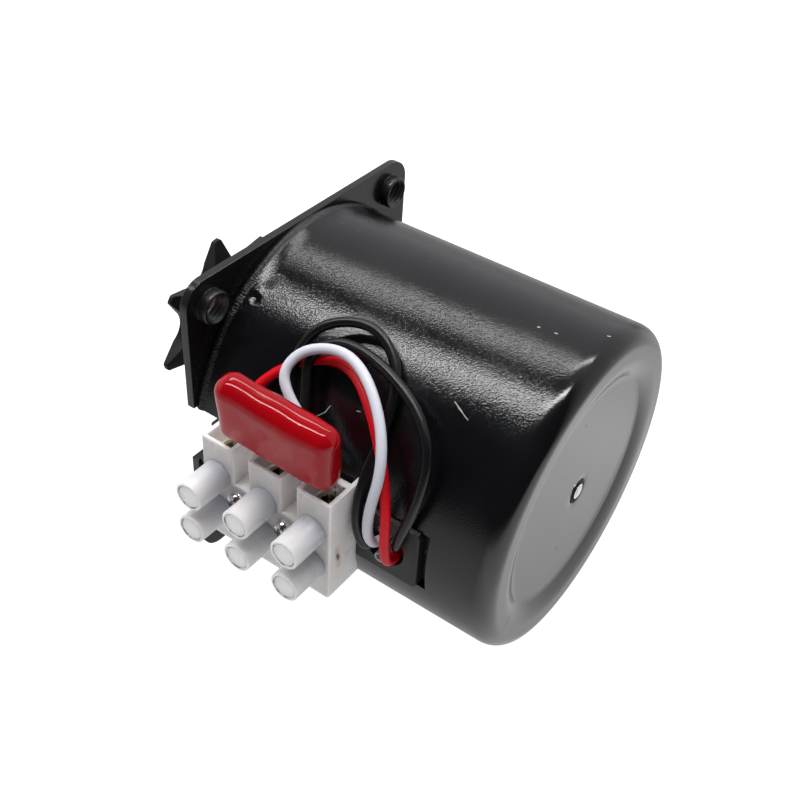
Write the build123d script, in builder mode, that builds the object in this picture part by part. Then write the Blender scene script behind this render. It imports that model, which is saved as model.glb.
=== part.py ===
"""Synchronous gear motor with a chain sprocket, lying on its side.

The output shaft points to -Y, the terminal strip is on the +X side and +Z is up.
The origin is the centre of the mounting plate's front face, on the shaft's axis.
All sizes are millimetres and all angles degrees.
"""

import os
from math import acos, cos, degrees, pi, radians, sin, tan

from build123d import *

os.makedirs("parts", exist_ok=True)

# Mounting plate
plate_overhang = 0.1
plate_thickness = 1.5
plate_corner_radius = 4.5
hole_inset = 5.35
hole_diameter = 5.0
collar_diameter = 7.2
collar_height = 1.8
collar_round = 0.6
notch_depth = 7.0
notch_corner_radius = 1.2

# Can
can_diameter = 60.0
can_length = 60.3
can_wall = 0.8
can_edge_radius = 3.4
rear_rim_width = 6.2
rear_step_depth = 1.2
rear_step_round = 0.45
slot_width = 12.0
slot_length = 48.5
slot_corner_radius = 0.8

# Fits
fit_clearance = 0.02
running_clearance = 0.05
slide_clearance = 0.15
end_float = 0.3
stator_clearance = 0.4
cut_overrun = 1.0

# Output shaft and its bush
shaft_diameter = 8.0
shaft_reach = 23.0
shaft_chamfer = 0.5
flat_depth = 0.8
flat_length = 15.0
bush_diameter = 12.0
bush_flange_diameter = 16.0
bush_flange_thickness = 1.5
bush_nose = 5.0
thrust_gap = 0.1
thrust_washer_diameter = 13.0
thrust_washer_thickness = 0.6
clip_diameter = 12.5
clip_thickness = 0.9
clip_groove_diameter = 6.6
clip_mouth = 5.0

# Sprocket
sprocket_teeth = 7
chain_pitch = 12.7
chain_seat_radius = 4.1
sprocket_tip_diameter = 33.8
sprocket_flank_angle = 44.0
sprocket_thickness = 3.0
sprocket_tip_round = 0.6
tooth_relief_height = 4.6
tooth_relief_depth = 1.1
sprocket_stand_off = 18.5
sprocket_first_tooth = 87.8
sprocket_hub_diameter = 18.0
sprocket_hub_length = 9.0
set_screw_diameter = 4.0
set_screw_socket = 2.0
set_screw_socket_depth = 2.2

# Gear train: three like stages, each a pinion and a wheel
gear_module = 0.4
pinion_teeth = 12
wheel_teeth = 48
pressure_angle = 25.0
gear_backlash = 0.1
addendum_share = 0.8
dedendum_share = 1.0
wheel_width = 2.6
wheel_gap = 0.8
pinion_overlap = 0.3
pin_diameter = 2.0
gear_hub_diameter = 3.4
first_pin_angle = 120.0
gear_plate_thickness = 1.2
post_count = 3
post_diameter = 4.0
post_inset = 3.2
post_first_angle = 30.0
post_screw_diameter = 2.0
post_screw_depth = 6.0
post_screw_head_diameter = 3.8
post_screw_head_height = 1.2
post_screw_slot_width = 0.6
post_screw_slot_depth = 0.5

# Rotor and stator
axle_diameter = 2.0
axle_proud = 0.3
axle_socket_depth = 3.5
rotor_nose = 0.4
magnet_bore = 12.0
rotor_washer_diameter = 5.0
rotor_washer_thickness = 0.5
claw_sheet = 1.0
claw_count = 6
claw_span = 20.0
claw_length_share = 0.86
air_gap = 0.6
bobbin_wall = 0.8
winding_inset = 0.9
winding_depth = 10.1

# Terminal carrier in the can's slot
carrier_proud = 0.3
carrier_start = 4.1
carrier_rear_gap = 1.35
carrier_flange_width = 15.0
carrier_flange_depth = 1.9
carrier_flange_thickness = 0.8
carrier_flange_reach = 2.6
lead_hole_y = 42.2
lead_hole_z = -0.3
lead_hole_diameter = 7.6

# Terminal block
pole_count = 3
pole_pitch = 9.85
middle_pole_y = 23.55
pole_width = 6.7
block_depth = 7.2
block_height = 20.8
block_round = 0.5
web_thickness = 2.5
web_height = 17.0
boss_diameter = 5.4
screw_row_spacing = 7.4
tube_diameter = 5.3
tube_length = 7.0
tube_bore = 4.2
tube_round = 0.25
foot_reach = 0.9
plug_thickness = 1.2
plug_sink = 0.1
sleeve_offset = 3.1
sleeve_diameter = 4.4
sleeve_bore = 3.2
sleeve_length = 12.8
entry_width = 5.2
entry_depth = 5.8
entry_back_wall = 0.7
entry_back_drop = 1.8

# Screws of the terminal block
clamp_screw_diameter = 2.6
clamp_screw_head_diameter = 3.8
clamp_screw_head_height = 1.6
clamp_screw_head_offset = 7.4
clamp_screw_tip_offset = 0.25
screw_slot_width = 0.7
screw_slot_depth = 0.8
fixing_screw_along = -0.35
fixing_screw_up = 0.7
fixing_screw_diameter = 2.0
fixing_screw_depth = 8.8
fixing_screw_head_diameter = 3.5
fixing_screw_head_height = 1.9
fixing_screw_head_round = 1.2

# Capacitor
capacitor_thickness = 5.8
capacitor_length = 22.0
capacitor_height = 13.3
capacitor_round = 2.65
capacitor_out = 5.6
capacitor_along = 1.85
capacitor_bottom_gap = 1.4
capacitor_tilt = (-6.4, 9.7, 3.5)
leg_diameter = 0.7
leg_pitch = 19.7
leg_root_depth = 1.8
leg_drop = 0.7
leg_side = 0.75
leg_bend_height = 0.9
leg_depth = 4.5

# Leads
lead_diameter = 1.7
conductor_diameter = 1.0
conductor_side = 0.55
conductor_depth = 4.5
conductor_straight = 0.2
conductor_gap = 0.2
single_splay = 0.1
double_splay = 0.4
insulation_stop = 1.4
wire_inset = 0.9
arc_share = 0.45
clear_sleeve_diameter = 1.9
clear_sleeve_bore = 1.3
clear_sleeve_along = -0.1
clear_sleeve_up = -1.9
clear_sleeve_length = 4.0

# Routes of the four leads, from the hole in the carrier to their terminal poles
red_route = [
    (27.6, 44.0, -2.2), (31.9, 44.2, -2.2), (33.5, 44.3, 2.8), (32.4, 43.6, 9.4),
    (29.6, 40.4, 16.6), (25.6, 34.9, 21.4), (22.3, 29.4, 23.6), (21.4, 24.2, 23.1),
    (23.2, 18.8, 20.9), (26.7, 14.6, 17.4), (29.9, 13.1, 13.9), (32.0, 13.0, 11.0),
    (32.5, 13.05, 7.8),
]
white_route = [
    (27.6, 41.8, 0.9), (31.9, 41.8, 0.9), (33.4, 40.9, 3.6), (33.7, 41.2, 9.4),
    (31.7, 41.8, 17.0), (27.7, 38.4, 22.4), (23.9, 32.4, 26.2), (22.4, 26.6, 26.8),
    (24.4, 20.9, 25.2), (28.0, 19.4, 22.2), (29.7, 22.4, 19.2), (30.1, 26.4, 16.2),
    (29.8, 29.6, 13.2), (31.0, 32.2, 11.8), (32.4, 32.7, 9.9), (32.5, 32.75, 7.8),
]
outer_black_route = [
    (27.6, 40.3, -1.1), (31.8, 40.2, -1.0), (32.9, 38.8, 2.2), (32.3, 37.9, 6.8),
    (30.3, 37.6, 11.8), (26.4, 37.7, 17.0), (22.0, 36.8, 22.4), (18.5, 34.5, 25.6),
    (16.4, 29.5, 28.4), (17.2, 24.2, 28.3), (20.2, 19.9, 26.5), (24.2, 18.9, 22.7),
    (27.6, 21.0, 18.2), (29.4, 22.4, 14.6), (31.0, 22.6, 12.4), (32.3, 22.6, 10.2),
    (32.5, 22.6, 7.8),
]
inner_black_route = [
    (27.6, 43.9, 0.9), (31.3, 44.7, 1.2), (31.9, 45.9, 5.4), (30.7, 47.6, 11.6),
    (27.3, 47.3, 19.4), (23.9, 42.7, 23.4), (21.6, 36.2, 25.6), (20.0, 29.6, 26.3),
    (20.4, 24.0, 26.1), (23.6, 21.0, 23.5), (26.8, 23.2, 19.3), (28.9, 24.7, 15.6),
    (30.8, 24.5, 12.8), (32.2, 24.5, 10.2), (32.5, 24.5, 7.8),
]

# Places along the shaft's axis, from the plate to the rear
plate_rear = plate_thickness
can_rear = plate_rear + can_length
rear_disc_outer = can_rear - rear_step_depth
rear_disc_inner = rear_disc_outer - can_wall
flange_rear = plate_rear + bush_flange_thickness
output_wheel_front = flange_rear + end_float
second_wheel_front = output_wheel_front + wheel_width + wheel_gap
first_wheel_front = second_wheel_front + wheel_width + wheel_gap
gear_plate_front = first_wheel_front + wheel_width + wheel_gap
gear_plate_rear = gear_plate_front + gear_plate_thickness
gear_hub_front = plate_rear + end_float
gear_hub_rear = gear_plate_front - end_float
shaft_rear = output_wheel_front + wheel_width
washer_rear = -bush_nose - thrust_gap
clip_rear = washer_rear - thrust_washer_thickness - thrust_gap
axle_front = shaft_rear - axle_socket_depth + end_float
rotor_front = gear_plate_rear + rotor_nose
rotor_rear = rear_disc_inner - rotor_washer_thickness - end_float
stator_front = gear_plate_rear + post_screw_head_height + end_float
stator_rear = rear_disc_inner - end_float
stator_unit = (stator_rear - stator_front) / 2
set_screw_y = sprocket_hub_length / 2 - sprocket_stand_off

# Places around the axis: the shaft and the two pins stand at equal distances from each other
can_radius = can_diameter / 2
rear_step_radius = can_radius - rear_rim_width
plate_side = can_diameter + 2 * plate_overhang
hole_pitch = plate_side - 2 * hole_inset
can_bore_radius = can_radius - can_wall
stator_radius = can_bore_radius - stator_clearance
post_circle_radius = can_bore_radius - post_inset
chain_circle_radius = chain_pitch / (2 * sin(pi / sprocket_teeth))
stage_distance = gear_module * (pinion_teeth + wheel_teeth) / 2
pinion_tip_radius = gear_module * pinion_teeth / 2 + addendum_share * gear_module
second_pin_angle = first_pin_angle + 180 / 3
pin_to_pin_angle = first_pin_angle + 2 * 180 / 3
half_wheel_tooth = 180 / wheel_teeth

# Places on the terminal side
carrier_face = can_radius + carrier_proud
carrier_flange_top = can_radius - carrier_flange_depth
carrier_flange_floor = carrier_flange_top - carrier_flange_thickness
carrier_front = plate_rear + carrier_start
carrier_rear = plate_rear + slot_length - carrier_rear_gap
carrier_gap_floor = carrier_flange_floor - slide_clearance
carrier_gap_width = carrier_flange_width + 2 * slide_clearance
bobbin_radius = carrier_gap_floor
bobbin_tube_radius = bobbin_radius - winding_inset - winding_depth
bobbin_bore_radius = bobbin_tube_radius - bobbin_wall
claw_outer_radius = bobbin_bore_radius - slide_clearance
claw_inner_radius = claw_outer_radius - claw_sheet
magnet_radius = claw_inner_radius - air_gap
block_front = carrier_face + block_depth
block_top = block_height / 2
tube_end = block_front + tube_length
sleeve_x = carrier_face + sleeve_offset
wire_x = sleeve_x - wire_inset
poles = [middle_pole_y + pole_pitch * (pole - (pole_count - 1) / 2) for pole in range(pole_count)]
gaps = [pole + pole_pitch / 2 for pole in poles[:-1]]
screw_places = [(pole, side * screw_row_spacing / 2) for pole in poles for side in (1, -1)]
fixing_places = [(gap + fixing_screw_along, fixing_screw_up) for gap in gaps]
capacitor_plane = Plane(
    origin=(
        carrier_face + capacitor_out,
        middle_pole_y + capacitor_along,
        block_top + capacitor_bottom_gap + capacitor_height / 2,
    )
).rotated(capacitor_tilt)


def station(y):
    """A plane square to the shaft at y, seen from the front: X to the right, Z up, forwards out."""
    return Plane(origin=(0, y, 0), x_dir=(1, 0, 0), z_dir=(0, -1, 0))


def around(radius, angle):
    """A point on such a plane, at a radius from the axis and an angle from +X."""
    return (radius * cos(radians(angle)), radius * sin(radians(angle)))


first_pin = around(stage_distance, first_pin_angle)
second_pin = around(stage_distance, second_pin_angle)


def gear_face(plane, teeth, first_tooth, centre=(0, 0)):
    """A spur gear's face: each flank is an arc through three points of its involute."""
    pitch_radius = gear_module * teeth / 2
    base_radius = pitch_radius * cos(radians(pressure_angle))
    tip_radius = pitch_radius + addendum_share * gear_module
    root_radius = pitch_radius - dedendum_share * gear_module
    foot_radius = max(base_radius, root_radius)
    waist_radius = (foot_radius + tip_radius) / 2
    tooth_step = 360 / teeth
    pitch_half_angle = (pi * gear_module / 2 - gear_backlash) / (2 * pitch_radius)

    def half_angle(radius):
        slope = acos(base_radius / radius)
        pitch_slope = radians(pressure_angle)
        return degrees(pitch_half_angle + tan(pitch_slope) - pitch_slope - tan(slope) + slope)

    def point(radius, angle):
        across, up = around(radius, angle)
        return (centre[0] + across, centre[1] + up)

    foot = half_angle(foot_radius)
    waist = half_angle(waist_radius)
    crest = half_angle(tip_radius)
    with BuildSketch(plane) as face:
        with BuildLine():
            for tooth in range(teeth):
                middle = first_tooth + tooth * tooth_step
                following = middle + tooth_step - foot
                ThreePointArc(
                    point(foot_radius, middle - foot),
                    point(waist_radius, middle - waist),
                    point(tip_radius, middle - crest),
                )
                ThreePointArc(
                    point(tip_radius, middle - crest),
                    point(tip_radius, middle),
                    point(tip_radius, middle + crest),
                )
                ThreePointArc(
                    point(tip_radius, middle + crest),
                    point(waist_radius, middle + waist),
                    point(foot_radius, middle + foot),
                )
                if foot_radius > root_radius:
                    Line(point(foot_radius, middle + foot), point(root_radius, middle + foot))
                    Line(point(root_radius, following), point(foot_radius, following))
                ThreePointArc(
                    point(root_radius, middle + foot),
                    point(root_radius, middle + tooth_step / 2),
                    point(root_radius, following),
                )
        make_face()
    return face.sketch


def wire_along(name, route, diameter):
    """A round wire on straight runs joined by arcs as large as the runs allow."""
    points = [Vector(*point) for point in route]
    radii = []
    for before, corner, after in zip(points, points[1:], points[2:]):
        arriving = corner - before
        leaving = after - corner
        half_turn = radians(arriving.get_angle(leaving)) / 2
        radii.append(arc_share * min(arriving.length, leaving.length) / tan(half_turn))
    with BuildPart() as wire:
        with BuildLine() as centre_line:
            FilletPolyline(*points, radius=radii)
        with BuildSketch(Plane(origin=points[0], z_dir=points[1] - points[0])):
            Circle(diameter / 2)
        sweep()
    length = sum(edge.length for edge in centre_line.edges())
    swept = wire.part.volume / (pi * diameter**2 / 4 * length)
    print(f"{name}: length {length:.1f}, volume over section times length {swept:.4f}")
    print("  radii " + ", ".join(f"{radius:.1f}" for radius in radii))
    return wire.part


# Mounting plate: steel sheet with a threaded collar drawn to the rear at each corner
with BuildPart() as mounting_plate:
    with BuildSketch(station(plate_rear)):
        RectangleRounded(plate_side, plate_side, plate_corner_radius)
        with Locations((plate_side / 2, 0)):
            RectangleRounded(2 * notch_depth, slot_width, notch_corner_radius, mode=Mode.SUBTRACT)
        Circle(bush_diameter / 2 + fit_clearance, mode=Mode.SUBTRACT)
        with Locations(first_pin, second_pin):
            Circle(pin_diameter / 2 + fit_clearance, mode=Mode.SUBTRACT)
    extrude(amount=plate_thickness)
    with BuildSketch(station(plate_rear + collar_height)):
        with GridLocations(hole_pitch, hole_pitch, 2, 2):
            Circle(collar_diameter / 2)
    extrude(amount=collar_height)
    collar_rims = mounting_plate.edges().filter_by(GeomType.CIRCLE).group_by(Axis.Y)[-1]
    fillet(collar_rims, radius=collar_round)
    with BuildSketch(station(plate_rear + collar_height)):
        with GridLocations(hole_pitch, hole_pitch, 2, 2):
            Circle(hole_diameter / 2)
    extrude(amount=plate_thickness + collar_height, mode=Mode.SUBTRACT)
mounting_plate.part.label = "mounting_plate"
export_step(mounting_plate.part, "parts/mounting_plate.step")

# Motor can: drawn cup with a rounded rear edge, a sunk rear disc and a slot for the carrier
with BuildPart() as motor_can:
    with BuildSketch(Plane.XY) as cup_outside:
        with BuildLine():
            Polyline(
                (0, plate_rear),
                (can_radius, plate_rear),
                (can_radius, can_rear),
                (rear_step_radius, can_rear),
                (rear_step_radius, rear_disc_outer),
                (0, rear_disc_outer),
                close=True,
            )
        make_face()
        fillet(cup_outside.vertices().group_by(Axis.Y)[-1].sort_by(Axis.X)[-1], radius=can_edge_radius)
        fillet(cup_outside.vertices().group_by(Axis.Y)[-1].sort_by(Axis.X)[0], radius=rear_step_round)
    revolve(axis=Axis.Y)
    with BuildSketch(Plane.XY) as cup_inside:
        with BuildLine():
            Polyline(
                (0, plate_rear),
                (can_bore_radius, plate_rear),
                (can_bore_radius, can_rear - can_wall),
                (rear_step_radius + can_wall, can_rear - can_wall),
                (rear_step_radius + can_wall, rear_disc_inner),
                (0, rear_disc_inner),
                close=True,
            )
        make_face()
        fillet(
            cup_inside.vertices().group_by(Axis.Y)[-1].sort_by(Axis.X)[-1],
            radius=can_edge_radius - can_wall,
        )
    revolve(axis=Axis.Y, mode=Mode.SUBTRACT)
    with BuildSketch(Plane.YZ.offset(carrier_flange_floor)):
        with Locations((plate_rear, 0)):
            RectangleRounded(2 * slot_length, slot_width, slot_corner_radius)
    extrude(amount=can_radius, mode=Mode.SUBTRACT)
    with BuildSketch(station(can_rear)):
        Circle(axle_diameter / 2 + fit_clearance)
    extrude(amount=rear_step_depth + can_wall + cut_overrun, mode=Mode.SUBTRACT)
motor_can.part.label = "motor_can"
export_step(motor_can.part, "parts/motor_can.step")

# Output bush: flanged brass bearing pressed into the plate from behind
with BuildPart() as output_bush:
    with BuildSketch(station(flange_rear)):
        Circle(bush_flange_diameter / 2)
    extrude(amount=bush_flange_thickness)
    with BuildSketch(station(plate_rear)):
        Circle(bush_diameter / 2)
    extrude(amount=plate_thickness + bush_nose)
    with BuildSketch(station(flange_rear)):
        Circle(shaft_diameter / 2 + running_clearance)
    extrude(amount=flange_rear + bush_nose, mode=Mode.SUBTRACT)
output_bush.part.label = "output_bush"
export_step(output_bush.part, "parts/output_bush.step")

# Output shaft: flat for the set screw, groove for the clip, blind bore for the axle's front end
with BuildPart() as output_shaft:
    with BuildSketch(station(shaft_rear)):
        Circle(shaft_diameter / 2)
    extrude(amount=shaft_rear + shaft_reach)
    chamfer(output_shaft.faces().sort_by(Axis.Y)[0].edges(), length=shaft_chamfer)
    with BuildSketch(station(flat_length - shaft_reach)):
        with Locations((0, shaft_diameter - flat_depth)):
            Rectangle(shaft_diameter, shaft_diameter)
    extrude(amount=flat_length, mode=Mode.SUBTRACT)
    with BuildSketch(station(clip_rear + fit_clearance)):
        Circle(shaft_diameter)
        Circle(clip_groove_diameter / 2, mode=Mode.SUBTRACT)
    extrude(amount=clip_thickness + 2 * fit_clearance, mode=Mode.SUBTRACT)
    with BuildSketch(station(shaft_rear)):
        Circle(axle_diameter / 2 + running_clearance)
    extrude(amount=axle_socket_depth, mode=Mode.SUBTRACT)
output_shaft.part.label = "output_shaft"
export_step(output_shaft.part, "parts/output_shaft.step")

# Thrust washer and retaining clip in front of the bush
with BuildPart() as thrust_washer:
    with BuildSketch(station(washer_rear)):
        Circle(thrust_washer_diameter / 2)
        Circle(shaft_diameter / 2 + running_clearance, mode=Mode.SUBTRACT)
    extrude(amount=thrust_washer_thickness)
thrust_washer.part.label = "thrust_washer"
export_step(thrust_washer.part, "parts/thrust_washer.step")

with BuildPart() as shaft_clip:
    with BuildSketch(station(clip_rear)):
        Circle(clip_diameter / 2)
        Circle(clip_groove_diameter / 2 + fit_clearance, mode=Mode.SUBTRACT)
        with Locations((0, -clip_diameter / 2)):
            Rectangle(clip_mouth, clip_diameter, mode=Mode.SUBTRACT)
    extrude(amount=clip_thickness)
shaft_clip.part.label = "shaft_clip"
export_step(shaft_clip.part, "parts/shaft_clip.step")

# Sprocket: roller seats with straight flanks, teeth that taper to their tips, and a hub behind the disc
flank_sine = sin(radians(sprocket_flank_angle))
flank_cosine = cos(radians(sprocket_flank_angle))
seat_edge = (-chain_seat_radius * flank_sine, chain_seat_radius * flank_cosine)
flank_end = (seat_edge[0] + chain_pitch * flank_cosine, seat_edge[1] + chain_pitch * flank_sine)
tooth_gap = [seat_edge, flank_end, (flank_end[0], -flank_end[1]), (seat_edge[0], -seat_edge[1])]
first_gap_angle = sprocket_first_tooth + 180 / sprocket_teeth
sprocket_tip_radius = sprocket_tip_diameter / 2
disc_faces = ((-sprocket_stand_off, -1), (-sprocket_stand_off - sprocket_thickness, 1))

with BuildPart() as sprocket:
    with BuildSketch(station(-sprocket_stand_off)) as toothed_disc:
        Circle(sprocket_tip_radius)
        with PolarLocations(chain_circle_radius, sprocket_teeth, first_gap_angle):
            Circle(chain_seat_radius, mode=Mode.SUBTRACT)
            Polygon(*tooth_gap, align=None, mode=Mode.SUBTRACT)
        fillet(toothed_disc.vertices().group_by(SortBy.DISTANCE)[-1], radius=sprocket_tip_round)
    extrude(amount=sprocket_thickness)
    for disc_face, inward in disc_faces:
        with BuildSketch(Plane.XY):
            Polygon(
                (sprocket_tip_radius - tooth_relief_height, disc_face),
                (sprocket_tip_radius, disc_face + inward * tooth_relief_depth),
                (sprocket_tip_radius + cut_overrun, disc_face + inward * tooth_relief_depth),
                (sprocket_tip_radius + cut_overrun, disc_face),
                align=None,
            )
        revolve(axis=Axis.Y, mode=Mode.SUBTRACT)
    with BuildSketch(station(sprocket_hub_length - sprocket_stand_off)):
        Circle(sprocket_hub_diameter / 2)
    extrude(amount=sprocket_hub_length)
    with BuildSketch(station(sprocket_hub_length - sprocket_stand_off)):
        Circle(shaft_diameter / 2 + fit_clearance)
    extrude(amount=sprocket_hub_length + sprocket_thickness, mode=Mode.SUBTRACT)
    with BuildSketch(Plane.XY):
        with Locations((0, set_screw_y)):
            Circle(set_screw_diameter / 2 + fit_clearance)
    extrude(amount=sprocket_hub_diameter, mode=Mode.SUBTRACT)
sprocket.part.label = "sprocket"
export_step(sprocket.part, "parts/sprocket.step")

# Sprocket set screw: grub screw from the hub's face down to the shaft's flat
set_screw_floor = shaft_diameter / 2 - flat_depth + fit_clearance
set_screw_top = sprocket_hub_diameter / 2
with BuildPart() as sprocket_set_screw:
    with BuildSketch(Plane.XY.offset(set_screw_floor)):
        with Locations((0, set_screw_y)):
            Circle(set_screw_diameter / 2)
    extrude(amount=set_screw_top - set_screw_floor)
    with BuildSketch(Plane.XY.offset(set_screw_top - set_screw_socket_depth)):
        with Locations((0, set_screw_y)):
            RegularPolygon(set_screw_socket / 2, 6, major_radius=False)
    extrude(amount=set_screw_socket_depth, mode=Mode.SUBTRACT)
sprocket_set_screw.part.label = "sprocket_set_screw"
export_step(sprocket_set_screw.part, "parts/sprocket_set_screw.step")

# Output gear: last wheel, fixed on the shaft
with BuildPart() as output_gear:
    extrude(
        gear_face(station(shaft_rear), wheel_teeth, second_pin_angle + half_wheel_tooth),
        amount=wheel_width,
    )
    with BuildSketch(station(shaft_rear)):
        Circle(shaft_diameter / 2 + fit_clearance)
    extrude(amount=wheel_width, mode=Mode.SUBTRACT)
output_gear.part.label = "output_gear"
export_step(output_gear.part, "parts/output_gear.step")


# Middle gears: hub, pinion and wheel in one piece, turning on a fixed pin
def middle_gear(pin, pinion_front, wheel_front, pinion_tooth, wheel_tooth):
    """One of the two gears between the rotor and the output gear."""
    wheel_rear = wheel_front + wheel_width
    with BuildPart() as gear:
        with BuildSketch(station(gear_hub_rear)):
            with Locations(pin):
                Circle(gear_hub_diameter / 2)
        extrude(amount=gear_hub_rear - gear_hub_front)
        pinion = gear_face(station(wheel_front), pinion_teeth, pinion_tooth, pin)
        extrude(pinion, amount=wheel_front - pinion_front)
        wheel = gear_face(station(wheel_rear), wheel_teeth, wheel_tooth, pin)
        extrude(wheel, amount=wheel_width)
        with BuildSketch(station(gear_hub_rear)):
            with Locations(pin):
                Circle(pin_diameter / 2 + running_clearance)
        extrude(amount=gear_hub_rear - gear_hub_front, mode=Mode.SUBTRACT)
    return gear.part


first_gear = middle_gear(
    first_pin,
    second_wheel_front - pinion_overlap,
    first_wheel_front,
    pin_to_pin_angle,
    first_pin_angle + 180 + half_wheel_tooth,
)
first_gear.label = "first_gear"
export_step(first_gear, "parts/first_gear.step")

second_gear = middle_gear(
    second_pin,
    output_wheel_front - pinion_overlap,
    second_wheel_front,
    second_pin_angle + 180,
    pin_to_pin_angle + 180 + half_wheel_tooth,
)
second_gear.label = "second_gear"
export_step(second_gear, "parts/second_gear.step")

# Gear pins: held in the mounting plate and in the gear plate
for pin_name, pin in (("first_gear_pin", first_pin), ("second_gear_pin", second_pin)):
    with BuildPart() as gear_pin:
        with BuildSketch(station(gear_plate_rear)):
            with Locations(pin):
                Circle(pin_diameter / 2)
        extrude(amount=gear_plate_rear)
    gear_pin.part.label = pin_name
    export_step(gear_pin.part, f"parts/{pin_name}.step")

# Gear plate: closes the gear train, on three posts
with BuildPart() as gear_plate:
    with BuildSketch(station(gear_plate_rear)):
        Circle(can_bore_radius - slide_clearance)
        Circle(pinion_tip_radius + wheel_gap, mode=Mode.SUBTRACT)
        with Locations(first_pin, second_pin):
            Circle(pin_diameter / 2 + fit_clearance, mode=Mode.SUBTRACT)
        with PolarLocations(post_circle_radius, post_count, post_first_angle):
            Circle(post_screw_diameter / 2 + fit_clearance, mode=Mode.SUBTRACT)
        with Locations((carrier_gap_floor + can_radius / 2, 0)):
            Rectangle(can_radius, carrier_gap_width, mode=Mode.SUBTRACT)
    extrude(amount=gear_plate_thickness)
gear_plate.part.label = "gear_plate"
export_step(gear_plate.part, "parts/gear_plate.step")

with BuildPart() as gear_posts:
    with BuildSketch(station(gear_plate_front)):
        with PolarLocations(post_circle_radius, post_count, post_first_angle):
            Circle(post_diameter / 2)
    extrude(amount=gear_plate_front - plate_rear)
    with BuildSketch(station(gear_plate_front)):
        with PolarLocations(post_circle_radius, post_count, post_first_angle):
            Circle(post_screw_diameter / 2 + fit_clearance)
    extrude(amount=post_screw_depth, mode=Mode.SUBTRACT)
gear_posts.part.label = "gear_posts"
export_step(gear_posts.part, "parts/gear_posts.step")

with BuildPart() as gear_plate_screws:
    with BuildSketch(station(gear_plate_rear)):
        with PolarLocations(post_circle_radius, post_count, post_first_angle):
            Circle(post_screw_diameter / 2)
    extrude(amount=post_screw_depth)
    with BuildSketch(station(gear_plate_rear)):
        with PolarLocations(post_circle_radius, post_count, post_first_angle):
            Circle(post_screw_head_diameter / 2)
    extrude(amount=-post_screw_head_height)
    with BuildSketch(station(gear_plate_rear + post_screw_head_height)):
        with PolarLocations(post_circle_radius, post_count, post_first_angle):
            Rectangle(2 * post_screw_head_diameter, post_screw_slot_width)
    extrude(amount=post_screw_slot_depth, mode=Mode.SUBTRACT)
gear_plate_screws.part.label = "gear_plate_screws"
export_step(gear_plate_screws.part, "parts/gear_plate_screws.step")

# Rotor hub: moulded core with the first pinion on its nose, turning on the fixed axle
with BuildPart() as rotor_hub:
    with BuildSketch(station(rotor_rear)):
        Circle(magnet_bore / 2 - fit_clearance)
    extrude(amount=rotor_rear - rotor_front)
    extrude(
        gear_face(station(rotor_front), pinion_teeth, first_pin_angle),
        amount=rotor_front - first_wheel_front + pinion_overlap,
    )
    with BuildSketch(station(rotor_rear)):
        Circle(axle_diameter / 2 + running_clearance)
    extrude(amount=rotor_rear - first_wheel_front + pinion_overlap, mode=Mode.SUBTRACT)
rotor_hub.part.label = "rotor_hub"
export_step(rotor_hub.part, "parts/rotor_hub.step")

with BuildPart() as rotor_magnet:
    with BuildSketch(station(stator_rear - claw_sheet)):
        Circle(magnet_radius)
        Circle(magnet_bore / 2, mode=Mode.SUBTRACT)
    extrude(amount=2 * stator_unit - 2 * claw_sheet)
rotor_magnet.part.label = "rotor_magnet"
export_step(rotor_magnet.part, "parts/rotor_magnet.step")

# Rotor axle: fixed pin staked in the rear disc, steadied by the output shaft's blind bore
with BuildPart() as rotor_axle:
    with BuildSketch(station(rear_disc_outer + axle_proud)):
        Circle(axle_diameter / 2)
    extrude(amount=rear_disc_outer + axle_proud - axle_front)
rotor_axle.part.label = "rotor_axle"
export_step(rotor_axle.part, "parts/rotor_axle.step")

with BuildPart() as rotor_washer:
    with BuildSketch(station(rear_disc_inner)):
        Circle(rotor_washer_diameter / 2)
        Circle(axle_diameter / 2 + fit_clearance, mode=Mode.SUBTRACT)
    extrude(amount=rotor_washer_thickness)
rotor_washer.part.label = "rotor_washer"
export_step(rotor_washer.part, "parts/rotor_washer.step")

# Stator: two like units, each a wound bobbin between two plates with interleaved claws
claw_length = claw_length_share * (stator_unit - 2 * claw_sheet)
claw_gap_side = around(2 * claw_outer_radius, (360 / claw_count - claw_span) / 2)
claw_gap = [(0, 0), claw_gap_side, (claw_gap_side[0], -claw_gap_side[1])]


def claw_plate(outer_y, inward, first_claw):
    """A pole plate at outer_y whose claws run along the axis, inward being 1 or -1 along +Y."""
    sheet_face = station(outer_y)
    with BuildPart() as plate:
        with BuildSketch(sheet_face):
            Circle(stator_radius)
            Circle(claw_inner_radius, mode=Mode.SUBTRACT)
            with Locations((carrier_gap_floor + can_radius / 2, 0)):
                Rectangle(can_radius, carrier_gap_width, mode=Mode.SUBTRACT)
        extrude(amount=-inward * claw_sheet)
        with BuildSketch(sheet_face):
            Circle(claw_outer_radius)
            Circle(claw_inner_radius, mode=Mode.SUBTRACT)
            with PolarLocations(0, claw_count, first_claw + 180 / claw_count):
                Polygon(*claw_gap, align=None, mode=Mode.SUBTRACT)
        extrude(amount=-inward * (claw_sheet + claw_length))
    return plate.part


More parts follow.
